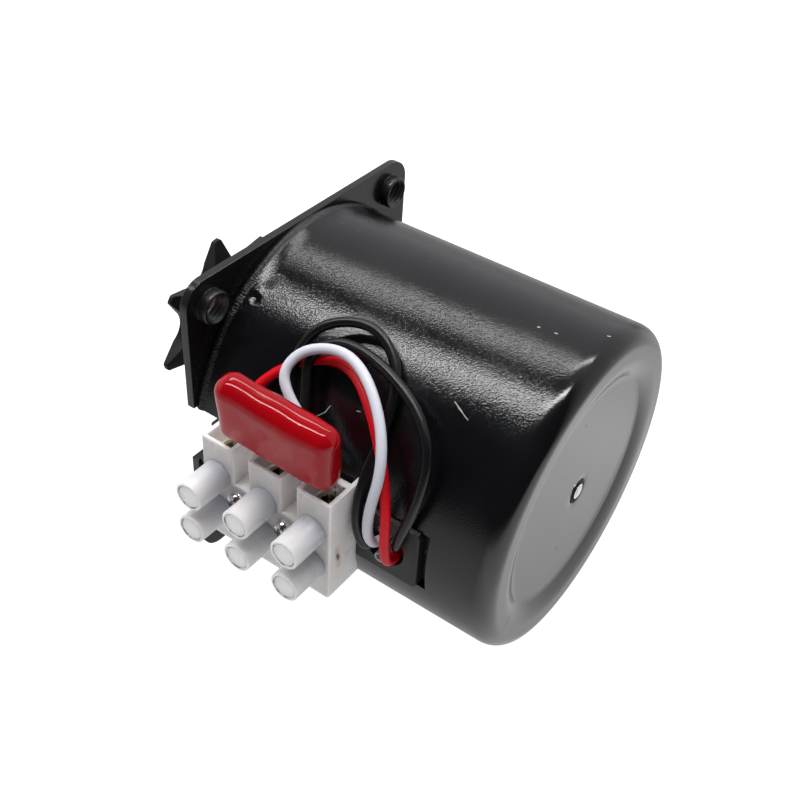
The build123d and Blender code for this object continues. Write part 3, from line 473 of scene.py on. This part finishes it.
def lay_over(material, mask, colour):
    """Lays one colour over a material where a mask is one."""
    base = shader_of(material).inputs["Base Color"]
    laid = tint(material.node_tree, mask, base.links[0].from_socket, (*colour, 1.0))
    material.node_tree.links.new(laid, base)


can_paint = finish_of(
    "can_paint",
    (0.003, 0.003, 0.0038),
    (0.0045, 0.0045, 0.0054),
    0.15,
    depth=0.021,
    dust=0.03,
    roughness_drift=0.04,
)
can_tree = can_paint.node_tree
can_spot = shade(can_tree, "SeparateXYZ", {0: place_of(can_paint)})

# Scratches and specks of bare metal in the paint: two points and a width in millimetres.
can_scratches = (
    ((18.47, 45.37, 23.64), (19.1, 47.2, 23.1), 0.11),
    ((18.85, 46.2, 23.3), (19.67, 48.6, 22.65), 0.1),
    ((1.72, 49.11, 29.95), (1.62, 49.3, 29.95), 0.22),
    ((1.39, 51.95, 29.97), (1.3, 52.3, 29.97), 0.2),
    ((-3.51, 58.63, 29.79), (-3.7, 58.9, 29.75), 0.2),
    ((26.12, 25.04, 14.75), (25.5, 26.2, 15.8), 0.12),
    ((25.5, 26.2, 15.8), (24.83, 26.6, 16.84), 0.12),
    ((24.08, 31.34, 17.9), (24.0, 31.9, 18.0), 0.13),
    ((22.36, 9.4, 20.3), (22.3, 9.7, 20.35), 0.08),
    ((24.69, 4.7, 17.4), (24.6, 4.9, 17.5), 0.08),
)
scratch_colour = (0.5, 0.49, 0.47)
scratched = 0.0
for start, stop, width in can_scratches:
    scratched = maths(can_tree, "MAXIMUM", mark_on(can_paint, start, stop, width), scratched)
lay_over(can_paint, scratched, scratch_colour)

# Relief under the paint, in grain depths: pebbles that are rubbed down at the rear edge, crimped ticks on
# the bead, a scuffed patch near the plate, and the marks below, each two points, a width and a height.
pebble_scale = 3600.0
pebble_height = 0.9
rub_start = 57.0 * mm
rub_stop = 59.5 * mm
rub_left = 0.12
crimp_turns = 400.0
crimp_waver = 15.0
crimp_waver_scale = 900.0
crimp_height = 1.5
crimp_dull = 0.26
crimp_front = bead_end - 0.2 * mm
crimp_rear = bead_end + 0.3 * mm
scuff_ends = ((15.2, 5.9, 26.0), (14.0, 6.9, 26.75))
scuff_width = 1.5
scuff_height = 9.0
can_dents = (
    ((17.75, 4.8, 24.1), (17.9, 5.2, 24.0), 1.3, -9.0),
    ((-6.13, 60.6, 20.51), (-6.13, 60.61, 20.51), 0.3, -4.0),
    ((2.69, 60.6, 16.59), (2.69, 60.61, 16.59), 0.3, -4.0),
    ((3.93, 60.6, -11.01), (3.93, 60.61, -11.01), 0.3, -4.0),
    ((20.6, 60.6, -4.3), (20.6, 60.61, -4.3), 0.3, -4.0),
    ((6.47, 60.6, 7.65), (6.47, 60.61, 7.65), 0.3, -4.0),
    ((23.34, 61.8, -13.35), (21.69, 61.8, -11.06), 0.2, -3.0),
)
can_skin = can_tree.nodes["skin"].outputs
pebble_cells = shade(can_tree, "TexVoronoi", {"Vector": place_of(can_paint), "Scale": pebble_scale}).outputs
pebbled = maths(can_tree, "MULTIPLY_ADD", pebble_cells["Distance"], pebble_height, can_skin["Height"])
rubbed = ramp(can_tree, can_spot.outputs["Y"], rub_start, rub_stop, 1.0, rub_left)
relief = maths(can_tree, "MULTIPLY", pebbled, rubbed)
waver = shade(can_tree, "TexNoise", {"Vector": place_of(can_paint), "Scale": crimp_waver_scale})
turn_at = maths(can_tree, "ARCTAN2", can_spot.outputs["Z"], can_spot.outputs["X"])
tick_phase = maths(can_tree, "MULTIPLY", turn_at, crimp_turns)
tick_phase = maths(can_tree, "MULTIPLY_ADD", waver.outputs["Fac"], crimp_waver, tick_phase)
on_bead = ramp(can_tree, can_spot.outputs["Y"], crimp_rear, crimp_front, 0.0, 1.0)
tick_height = maths(can_tree, "MULTIPLY", on_bead, crimp_height)
relief = maths(can_tree, "MULTIPLY_ADD", maths(can_tree, "SINE", tick_phase), tick_height, relief)
flaked = maths(can_tree, "SUBTRACT", can_skin["Height"], 0.5)
scuffed = maths(can_tree, "MULTIPLY", mark_on(can_paint, *scuff_ends, scuff_width), flaked)
relief = maths(can_tree, "MULTIPLY_ADD", scuffed, scuff_height, relief)
for start, stop, width, height in can_dents:
    relief = maths(can_tree, "MULTIPLY_ADD", mark_on(can_paint, start, stop, width), height, relief)
can_tree.links.new(relief, can_tree.nodes["bump"].inputs["Height"])
can_sheen = maths(can_tree, "MULTIPLY_ADD", on_bead, crimp_dull, can_skin["Roughness"])
can_tree.links.new(can_sheen, shader_of(can_paint).inputs["Roughness"])
can = new_piece("can_cup", *can_shell())
dress(can, can_paint)
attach(can, "housing")
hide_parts("motor_can")

# Output bush, washers and clip
# A flanged sintered-brass bearing pressed into the plate, with a steel washer and a spring clip on the
# shaft in front of it. A like washer takes the rotor's thrust.
bush_brass = finish_of(
    "bush_brass",
    (0.55, 0.37, 0.13),
    (0.40, 0.25, 0.09),
    0.34,
    grain=5200.0,
    depth=0.02,
    metallic=1.0,
    dust=0.0,
)
spring_steel = finish_of(
    "spring_steel", (0.20, 0.19, 0.19), (0.11, 0.10, 0.10), 0.34, metallic=1.0, grain=2600.0, dust=0.0
)
dress(nodes["output_bush"], bush_brass)
for node in ("thrust_washer", "shaft_clip", "rotor_washer"):
    dress(nodes[node], spring_steel)

# Output shaft, gear pins and rotor axle
# Ground bright steel rod: the shaft has a flat for its set screw, and the axle's end is staked in the
# middle of the can's rear disc.
button_radius = 1.42 * mm
button_foot = 59.7 * mm
button_face = 60.88 * mm
button_dome = 0.12 * mm
button_side = 0.3 * mm
shaft_steel = finish_of(
    "shaft_steel", (0.58, 0.57, 0.55), (0.46, 0.45, 0.43), 0.26, metallic=1.0, depth=0.004, dust=0.0
)
for node in ("output_shaft", "first_gear_pin", "second_gear_pin", "rotor_axle"):
    dress(nodes[node], shaft_steel)


def axle_button():
    """The axle's spread end: a profile of radius and place along Y turned about Y, slightly domed.

    place = face - dome * share^4 over its end, then straight down its side and across its foot.
    """
    share = np.linspace(0.0, 1.0, 9)
    turn = np.linspace(0.0, 2.0 * np.pi, 41)[:-1]
    radius = np.concatenate([share, [1.0, 0.98, 0.0]])[:, None] * button_radius
    face = button_face - button_dome * share**4
    along = np.concatenate([face, [button_face - button_side, button_foot, button_foot]])[:, None]
    grid = np.arange(radius.size * turn.size).reshape(radius.size, turn.size)
    return turned(radius, along, turn), cells_between(grid).reshape(-1, 4)


axle_end = new_piece("axle_button", *axle_button())
dress(axle_end, shaft_steel)
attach(axle_end, "housing")

# Sprocket and its set screw
# Seven-tooth steel chain wheel on a turned hub, blacked with oil. A socket grub screw in the hub holds it
# on the flat of the shaft.
sprocket_round = 0.25 * mm
sprocket_black = finish_of(
    "sprocket_black",
    (0.007, 0.007, 0.008),
    (0.011, 0.011, 0.012),
    0.5,
    grain=1800.0,
    depth=0.02,
    specular=0.3,
    dust=0.05,
)
sprocket = rounded_copy("sprocket", "chain_wheel", sprocket_round)
dress(sprocket, sprocket_black)
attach(sprocket, "output")
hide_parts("sprocket")
black_screw = finish_of("black_screw", (0.03, 0.03, 0.032), (0.05, 0.05, 0.05), 0.36, metallic=0.7, dust=0.0)
dress(nodes["sprocket_set_screw"], black_screw)

# Gear train
# Cut steel and moulded plastic wheels that turn on pins, between the mounting plate and a zinc-plated
# sheet that three screws hold on three posts.
gear_steel = finish_of(
    "gear_steel", (0.42, 0.41, 0.40), (0.30, 0.29, 0.28), 0.32, metallic=1.0, grain=2400.0, dust=0.0
)
gear_plastic = finish_of(
    "gear_plastic", (0.72, 0.69, 0.60), (0.66, 0.62, 0.52), 0.45, grain=1500.0, depth=0.006, dust=0.0
)
zinc_steel = finish_of(
    "zinc_steel", (0.56, 0.57, 0.58), (0.44, 0.45, 0.47), 0.36, metallic=1.0, grain=900.0, dust=0.0
)
for node in ("output_gear", "second_gear"):
    dress(nodes[node], gear_steel)
for node in ("first_gear", "rotor_hub"):
    dress(nodes[node], gear_plastic)
for node in ("gear_plate", "gear_posts", "gear_plate_screws"):
    dress(nodes[node], zinc_steel)

# Rotor magnet and stator
# A sintered ferrite ring turns inside two moulded bobbins wound with enamelled copper, each between two
# steel plates with pressed claws.
ferrite = finish_of("ferrite", (0.045, 0.043, 0.042), (0.06, 0.057, 0.055), 0.55, grain=2600.0, dust=0.0)
bobbin_plastic = finish_of(
    "bobbin_plastic", (0.78, 0.76, 0.70), (0.70, 0.67, 0.60), 0.42, grain=1500.0, dust=0.0
)
copper = finish_of(
    "copper", (0.62, 0.24, 0.10), (0.48, 0.17, 0.07), 0.30, metallic=0.9, grain=5200.0, dust=0.0
)
dress(nodes["rotor_magnet"], ferrite)
for unit in ("front", "rear"):
    dress(nodes[unit + "_stator_leading_claws"], zinc_steel)
    dress(nodes[unit + "_stator_trailing_claws"], zinc_steel)
    dress(nodes[unit + "_bobbin"], bobbin_plastic)
    dress(nodes[unit + "_winding"], copper)

# Terminal carrier
# Strip moulded in matt black plastic, with a hole for the leads. It fills the can's slot, stands a little
# proud of it and carries the terminal block.
carrier_round = 0.18 * mm
carrier_plastic = finish_of(
    "carrier_plastic", (0.006, 0.006, 0.007), (0.010, 0.010, 0.011), 0.46, grain=2600.0, depth=0.02, dust=0.2
)
carrier = rounded_copy("terminal_carrier", "carrier_strip", carrier_round)
dress(carrier, carrier_plastic)
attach(carrier, "housing")
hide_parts("terminal_carrier")

# Terminal block
# Three hollow poles moulded in milky natural plastic on a thin web, with a tube for each clamp screw.
# Plugs of the same plastic close the tubes, lighter partly as solid plastic and partly as painted light
# on their ends. Brass sleeves stand in the poles, and two screws hold it.
block_round = 0.13 * mm
block_front = 37.5 * mm
first_pole = 13.7 * mm
pole_pitch = 9.85 * mm
tube_height = 3.7 * mm
tube_end = 44.5 * mm
plug_radius = 2.06 * mm
ring_core = 0.03 * mm
ring_fade = 0.12 * mm
ring_depth = 0.5 * mm
ring_gaps = 700.0
ring_gap_ends = (0.44, 0.58)
ring_left = 0.1
# Painted shade of the screws in the tube roots and of the sleeves behind the poles' front walls, then the
# ring dirt round the plugs.
root_inset = 0.8 * mm
screw_shade_shares = (0.1, 0.8)
front_depth = 0.05 * mm
front_fade = 0.3 * mm
sleeve_shade_share = 0.55
soil_brown = (0.05, 0.045, 0.04)
painted_screw_shade = (0.40, 0.43, 0.49)
painted_sleeve_shade = (0.34, 0.31, 0.31)
stain_tan = (0.55, 0.36, 0.16)
stain_brown = (0.09, 0.035, 0.006)


def build_tube_dirt_and_shade():
    """Node group for the screw tubes: dirt in the broken ring round each plug, painted shade of the steel
    screw inside the root of each tube, and painted shade of the sleeve behind each pole's front wall.

    The distance to the nearest tube is hypot(wrapped y, |z| - height), with y wrapped by the pitch.
    """
    group, entry, leave = skin_group(
        "tube_dirt_and_shade",
        [("Place", "Vector", (0.0, 0.0, 0.0))],
        [("Ring", "Float"), ("Screw Shade", "Float"), ("Sleeve Shade", "Float")],
    )
    spot = shade(group, "SeparateXYZ", {0: entry.outputs["Place"]}).outputs
    half_pitch = 0.5 * pole_pitch
    wrapped = maths(group, "WRAP", maths(group, "SUBTRACT", spot["Y"], first_pole), -half_pitch, half_pitch)
    aside = maths(group, "SUBTRACT", maths(group, "ABSOLUTE", spot["Z"]), tube_height)
    square = maths(group, "MULTIPLY", wrapped, wrapped)
    reach = maths(group, "SQRT", maths(group, "MULTIPLY_ADD", aside, aside, square))
    off_ring = maths(group, "ABSOLUTE", maths(group, "SUBTRACT", reach, plug_radius))
    line = ramp(group, off_ring, ring_core, ring_fade, 1.0, 0.0)
    at_end = maths(group, "GREATER_THAN", spot["X"], tube_end - ring_depth)
    noise = {"Vector": entry.outputs["Place"], "Scale": ring_gaps, "Detail": 2.0}
    broken = ramp(group, shade(group, "TexNoise", noise).outputs["Fac"], *ring_gap_ends, ring_left, 1.0)
    ring = maths(group, "MULTIPLY", maths(group, "MULTIPLY", line, at_end), broken)
    group.links.new(ring, leave.inputs["Ring"])
    # Painted shade of the screw inside each tube, darkest at its root.
    inward = ramp(group, spot["X"], tube_end - root_inset, block_front + root_inset, *screw_shade_shares)
    on_tube = maths(group, "GREATER_THAN", spot["X"], block_front + front_depth)
    group.links.new(maths(group, "MULTIPLY", inward, on_tube), leave.inputs["Screw Shade"])
    # Painted shade of the sleeve behind each pole's front wall.
    off_front = maths(group, "ABSOLUTE", maths(group, "SUBTRACT", spot["X"], block_front))
    front = ramp(group, off_front, front_depth, front_fade, sleeve_shade_share, 0.0)
    group.links.new(front, leave.inputs["Sleeve Shade"])
    return group


tube_dirt_and_shade = build_tube_dirt_and_shade()


def milky_plastic(name, colour, patch_colour):
    """The milky moulding: skin, ring dirt and painted shade of the screws and sleeves, over light that
    scatters within the plastic.
    """
    material = finish_of(
        name,
        colour,
        patch_colour,
        0.30,
        grain=1400.0,
        depth=0.006,
        dust=0.55,
        dust_colour=(0.22, 0.19, 0.16, 1.0),
        patch_scale=160.0,
    )
    dirt_and_shade = shade(material.node_tree, "Group", {"Place": place_of(material)}, node_tree=tube_dirt_and_shade)
    # Painted shade of the screws and sleeves inside, then the ring dirt round the plugs.
    lay_over(material, dirt_and_shade.outputs["Screw Shade"], painted_screw_shade)
    lay_over(material, dirt_and_shade.outputs["Sleeve Shade"], painted_sleeve_shade)
    lay_over(material, dirt_and_shade.outputs["Ring"], soil_brown)
    sockets = shader_of(material).inputs
    sockets["Subsurface Weight"].default_value = 0.8
    sockets["Subsurface Radius"].default_value = (1.0, 1.0, 1.0)
    sockets["Subsurface Scale"].default_value = 1.6 * mm
    return material


block_plastic = milky_plastic("block_plastic", (0.85, 0.83, 0.825), (0.81, 0.78, 0.765))

# A rusty stain on the side of the last pole, with a faint run above and below it.
stain_run = mark_on(block_plastic, (35.5, 36.75, -0.4), (34.8, 36.75, -4.6), 0.9)
stain_run = maths(block_plastic.node_tree, "MULTIPLY", stain_run, 0.5)
lay_over(block_plastic, stain_run, stain_tan)
stain = mark_on(block_plastic, (35.3, 36.75, -1.9), (34.95, 36.75, -2.9), 0.62)
lay_over(block_plastic, stain, stain_brown)
block = rounded_copy("terminal_block", "pole_strip", block_round)
dress(block, block_plastic)
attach(block, "housing")
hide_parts("terminal_block")
# The plugs are lighter than the block: partly solid plastic, partly painted light on the tube ends.
plug_plastic_and_painted_light = milky_plastic("plug_plastic_and_painted_light", (0.93, 0.92, 0.925), (0.89, 0.88, 0.885))
sleeve_brass = finish_of(
    "sleeve_brass", (0.60, 0.50, 0.30), (0.48, 0.38, 0.20), 0.30, metallic=1.0, grain=1600.0, dust=0.0
)
bright_zinc = finish_of(
    "bright_zinc",
    (0.78, 0.79, 0.80),
    (0.66, 0.68, 0.70),
    0.22,
    grain=1500.0,
    depth=0.006,
    metallic=1.0,
    dust=0.0,
)
dress(nodes["terminal_plugs"], plug_plastic_and_painted_light)
dress(nodes["terminal_sleeves"], sleeve_brass)
dress(nodes["terminal_clamp_screws"], zinc_steel)
dress(nodes["terminal_fixing_screws"], bright_zinc)

# Capacitor
# Film capacitor dipped in red epoxy: a rounded block with soft waves in its coat, standing on two tinned
# wires, with a little epoxy run down each of them.
capacitor_half = np.array([2.9, 11.0, 6.65]) * mm
capacitor_round = 2.65 * mm
capacitor_centre = np.array([35.9, 25.4, 18.45]) * mm
capacitor_tilt = (-6.4, 9.7, 3.5)
coat_inset = 0.12 * mm
leg_offset = 9.85 * mm
leg_run = 0.9 * mm
leg_run_width = 0.75 * mm


def dipped_block():
    """A rounded block: a cube's six grids drawn in to its core, plus the round along the direction out.

    The coat then swells by slow sines along its normals, and at each leg the bottom drops in a small
    bell, exp(-(distance / width)^2) deep.
    """
    steps = np.sin(np.linspace(-1.0, 1.0, 45) * np.pi / 2.0)
    first, second = np.meshgrid(steps, steps, indexing="ij")
    sides = []
    for axis in range(3):
        for sign in (1.0, -1.0):
            side = np.full(first.shape + (3,), sign)
            side[..., (axis + 1) % 3] = first
            side[..., (axis + 2) % 3] = second
            sides.append(side.reshape(-1, 3))
    box = np.concatenate(sides) * capacitor_half
    core = np.clip(box, capacitor_round - capacitor_half, capacitor_half - capacitor_round)
    out = box - core
    out /= np.linalg.norm(out, axis=1, keepdims=True)
    skin = core + capacitor_round * out
    along, up = skin[:, 1] / mm, skin[:, 2] / mm
    swell = 0.10 * np.sin(0.42 * along + 0.7) * np.sin(0.55 * up - 0.4)
    swell += 0.05 * np.sin(0.9 * along - 0.6 * up)
    skin = skin + (swell * mm - coat_inset)[:, None] * out
    below = np.clip(-out[:, 2], 0.0, 1.0)
    for leg in (-leg_offset, leg_offset):
        reach = np.hypot(skin[:, 0], skin[:, 1] - leg)
        skin[:, 2] -= leg_run * below * np.exp(-((reach / leg_run_width) ** 2))
    grids = np.arange(len(skin)).reshape(6, *first.shape)
    faces = [cells_between(grid, closed=False).reshape(-1, 4) for grid in grids]
    turn = np.eye(3)
    for axis, degrees in zip("XYZ", capacitor_tilt):
        turn = turn @ np.array(Matrix.Rotation(np.radians(degrees), 3, axis))
    return capacitor_centre + skin @ turn.T, np.concatenate(faces)


capacitor_red = finish_of(
    "capacitor_red",
    (0.34, 0.002, 0.006),
    (0.28, 0.001, 0.004),
    0.07,
    grain=900.0,
    depth=0.006,
    specular=0.28,
    dust=0.08,
)
capacitor = new_piece("dipped_capacitor", *dipped_block())
dress(capacitor, capacitor_red)
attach(capacitor, "housing")
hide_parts("capacitor_body")
tinned_wire = finish_of(
    "tinned_wire", (0.66, 0.66, 0.66), (0.54, 0.54, 0.55), 0.28, metallic=1.0, grain=2600.0, dust=0.0
)
for node in ("capacitor_legs", "lead_ends"):
    dress(nodes[node], tinned_wire)

# Leads
# Four single-core leads in glossy vinyl, pushed by hand from the carrier's hole round to their poles,
# where the clamp screws hold their bared ends.
lead_diameter = 1.7 * mm
lead_routes = {
    "red": [
        (27.6, 44.0, -2.2), (31.9, 44.2, -2.2), (33.5, 44.3, 2.8), (32.4, 43.6, 9.4),
        (29.6, 40.4, 16.6), (25.6, 34.9, 21.4), (22.3, 29.4, 23.6), (21.4, 24.2, 23.1),
        (23.2, 18.8, 20.9), (26.7, 14.6, 17.4), (29.9, 13.1, 13.9), (32.0, 13.0, 11.0),
        (32.5, 13.05, 7.8),
    ],
    "white": [
        (27.6, 41.8, 0.9), (31.9, 41.8, 0.9), (33.4, 40.9, 3.6), (33.7, 41.2, 9.4),
        (31.7, 41.8, 17.0), (27.7, 38.4, 22.4), (23.9, 32.4, 26.2), (22.4, 26.6, 26.8),
        (24.4, 20.9, 25.2), (28.0, 19.4, 22.2), (29.7, 22.4, 19.2), (30.1, 26.4, 16.2),
        (29.8, 29.6, 13.2), (31.0, 32.2, 11.8), (32.4, 32.7, 9.9), (32.5, 32.75, 7.8),
    ],
    "outer_black": [
        (27.6, 40.3, -1.1), (31.8, 40.2, -1.0), (32.9, 38.8, 2.2), (32.3, 37.9, 6.8),
        (30.3, 37.6, 11.8), (26.4, 37.7, 17.0), (22.0, 36.8, 22.4), (18.5, 34.5, 25.6),
        (16.4, 29.5, 28.4), (17.2, 24.2, 28.3), (20.2, 19.9, 26.5), (24.2, 18.9, 22.7),
        (27.6, 21.0, 18.2), (29.4, 22.4, 14.6), (31.0, 22.6, 12.4), (32.3, 22.6, 10.2),
        (32.5, 22.6, 7.8),
    ],
    "inner_black": [
        (27.6, 43.9, 0.9), (31.3, 44.7, 1.2), (31.9, 45.9, 5.4), (30.7, 47.6, 11.6),
        (27.3, 47.3, 19.4), (23.9, 42.7, 23.4), (21.6, 36.2, 25.6), (20.0, 29.6, 26.3),
        (20.4, 24.0, 26.1), (23.6, 21.0, 23.5), (26.8, 23.2, 19.3), (28.9, 24.7, 15.6),
        (30.8, 24.5, 12.8), (32.2, 24.5, 10.2), (32.5, 24.5, 7.8),
    ],
}
red_vinyl = finish_of(
    "red_vinyl", (0.60, 0.003, 0.012), (0.52, 0.002, 0.010), 0.36, grain=1300.0, specular=0.22, dust=0.1
)
white_vinyl = finish_of(
    "white_vinyl", (0.60, 0.61, 0.68), (0.55, 0.56, 0.63), 0.36, grain=1300.0, specular=0.3, dust=0.1
)
black_vinyl = finish_of(
    "black_vinyl", (0.004, 0.004, 0.005), (0.006, 0.006, 0.007), 0.3, grain=1300.0, specular=0.36, dust=0.05
)
lead_finishes = {
    "red": (red_vinyl, "red_insulation"),
    "white": (white_vinyl, "white_insulation"),
    "outer_black": (black_vinyl, "black_insulation"),
    "inner_black": (black_vinyl, "black_insulation"),
}
for lead_name, route in lead_routes.items():
    vinyl, vinyl_slot = lead_finishes[lead_name]
    curve = bpy.data.curves.new(lead_name + "_vinyl", "CURVE")
    curve.dimensions = "3D"
    line = curve.splines.new("NURBS")
    line.points.add(len(route) - 1)
    line.points.foreach_set("co", np.c_[np.array(route) * mm, np.ones(len(route))].ravel())
    line.order_u = 3
    line.use_endpoint_u = True
    line.resolution_u = 10
    curve.bevel_depth = lead_diameter / 2.0
    curve.bevel_resolution = 7
    curve.use_fill_caps = True
    lead = bpy.data.objects.new(lead_name + "_vinyl", curve)
    bpy.context.scene.collection.objects.link(lead)
    dress(lead, vinyl)
    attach(lead, "housing")
    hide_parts(lead_name + "_lead")

# Clear sleeve
# A cut end of clear plastic tubing that stands in the carrier's hole, where the leads press it against
# the edge.
clear_tube = finish_of("clear_tube", (0.86, 0.88, 0.89), (0.80, 0.82, 0.83), 0.18, grain=900.0, dust=0.0)
shader_of(clear_tube).inputs["Transmission Weight"].default_value = 0.7
shader_of(clear_tube).inputs["IOR"].default_value = 1.45
dress(nodes["clear_sleeve"], clear_tube)

# Floor
# A wide pale sheet under the plate's lower edge. The camera sees it white, and what the motor's gloss
# mirrors of it is dim below the motor, bright behind it and dim again far to both sides.
floor_level = -plate_half
floor_reach = 3.0
floor_white_seen = 1.02
floor_white_thrown = 0.75
floor_steps = np.linspace(-floor_reach, floor_reach, 9)
floor_x, floor_y = np.meshgrid(floor_steps, floor_steps, indexing="ij")
floor_points = np.stack([floor_x, floor_y, np.full_like(floor_x, floor_level)], axis=-1).reshape(-1, 3)
floor_grid = np.arange(floor_x.size).reshape(floor_x.shape)
floor = new_piece("floor", floor_points, cells_between(floor_grid, closed=False).reshape(-1, 4))


def either(tree, mask, no, yes):
    """One Mix node on numbers: the first where the mask is nothing, the second where it is one."""
    return shade(tree, "Mix", {0: mask, 2: no, 3: yes}).outputs[0]


floor_white = finish_of(
    "floor_white", (0.20, 0.20, 0.20), (0.19, 0.19, 0.19), 0.8, grain=300.0, dust=0.0
)
floor_tree = floor_white.node_tree
floor_spot = shade(floor_tree, "SeparateXYZ", {0: place_of(floor_white)}).outputs
behind = ramp(floor_tree, floor_spot["Y"], 0.05, 0.085, 0.42, 1.14)
beside = ramp(floor_tree, floor_spot["X"], 0.08, 0.3, 1.0, 0.1)
beyond = ramp(floor_tree, floor_spot["X"], -0.05, -0.1, 1.0, 0.45)
mirrored = maths(floor_tree, "MULTIPLY", behind, maths(floor_tree, "MULTIPLY", beside, beyond))
floor_ray = shade(floor_tree, "LightPath").outputs
thrown = either(floor_tree, floor_ray["Is Glossy Ray"], floor_white_thrown, mirrored)
glow = either(floor_tree, floor_ray["Is Camera Ray"], thrown, floor_white_seen)
floor_tree.links.new(glow, shader_of(floor_white).inputs["Emission Color"])
shader_of(floor_white).inputs["Emission Strength"].default_value = 1.0
dress(floor, floor_white)

# Room and lights
# A room that the camera sees white, dim but for pale walls beyond the motor and in front of it, with two
# long strip lights side by side overhead and a wide soft light that the gloss doesn't mirror.
room_white_seen = 1.06
room_tint = (0.97, 0.98, 1.0, 1.0)
room = bpy.data.worlds.new("dim_room")
bpy.context.scene.world = room
room.use_nodes = True
room_tree = room.node_tree
facing = shade(room_tree, "SeparateXYZ", {0: shade(room_tree, "TexCoord").outputs["Generated"]}).outputs
far_wall = ramp(room_tree, facing["X"], -0.15, -0.45, 0.03, 0.68)
front_wall = ramp(room_tree, facing["Y"], -0.6, -0.85, 0.0, 0.9)
near_wall = ramp(room_tree, facing["X"], 0.1, 0.5, 0.0, 0.3)
room_ray = shade(room_tree, "LightPath").outputs
walls = maths(room_tree, "MAXIMUM", far_wall, front_wall)
walls = maths(room_tree, "MULTIPLY_ADD", near_wall, room_ray["Is Diffuse Ray"], walls)
brightness = either(room_tree, room_ray["Is Camera Ray"], walls, room_white_seen)
room_tree.nodes["Background"].inputs["Color"].default_value = room_tint
room_tree.links.new(brightness, room_tree.nodes["Background"].inputs["Strength"])

strip_size = (0.045, 0.53)
strip_run = Vector((-0.46, 0.888, 0.0)).normalized()
upward = Vector((0.0, 0.0, 1.0))
strip_side = strip_run.cross(upward)
strip_turn = Matrix((strip_side, strip_run, upward)).transposed().to_4x4()
for light_name, place, size, watts, in_gloss in (
    ("far_strip", (-0.209, -0.065, 0.45), strip_size, 1.0, True),
    ("near_strip", (0.065, -0.063, 0.45), strip_size, 1.8, True),
    ("soft_fill", (0.05, 0.0, 0.6), (0.6, 0.6), 1.2, False),
):
    lamp = bpy.data.lights.new(light_name, "AREA")
    lamp.shape = "RECTANGLE"
    lamp.size, lamp.size_y = size
    lamp.energy = watts
    lamp_object = bpy.data.objects.new(light_name, lamp)
    lamp_object.visible_glossy = in_gloss
    bpy.context.scene.collection.objects.link(lamp_object)
    lamp_object.matrix_world = Matrix.Translation(place) @ strip_turn

# Camera
# Behind, above and to the terminal side of the motor, where the photograph was taken. Its length of view
# is in pixels of a square picture.
picture_width = 800.0
view_length = 1106.5
camera_data = bpy.data.cameras.new("photo_view")
camera_data.sensor_width = 36.0
camera_data.lens = camera_data.sensor_width * view_length / picture_width
camera_data.clip_start = 0.01
camera = bpy.data.objects.new("photo_view", camera_data)
bpy.context.scene.collection.objects.link(camera)
camera.matrix_world = Matrix(
    (
        (-0.581717, -0.498474, 0.642751, 0.130152),
        (0.811389, -0.411039, 0.415567, 0.107727),
        (0.057047, 0.763263, 0.643564, 0.130556),
        (0.0, 0.0, 0.0, 1.0),
    )
)
bpy.context.scene.camera = camera
bpy.context.scene.view_settings.view_transform = "Standard"
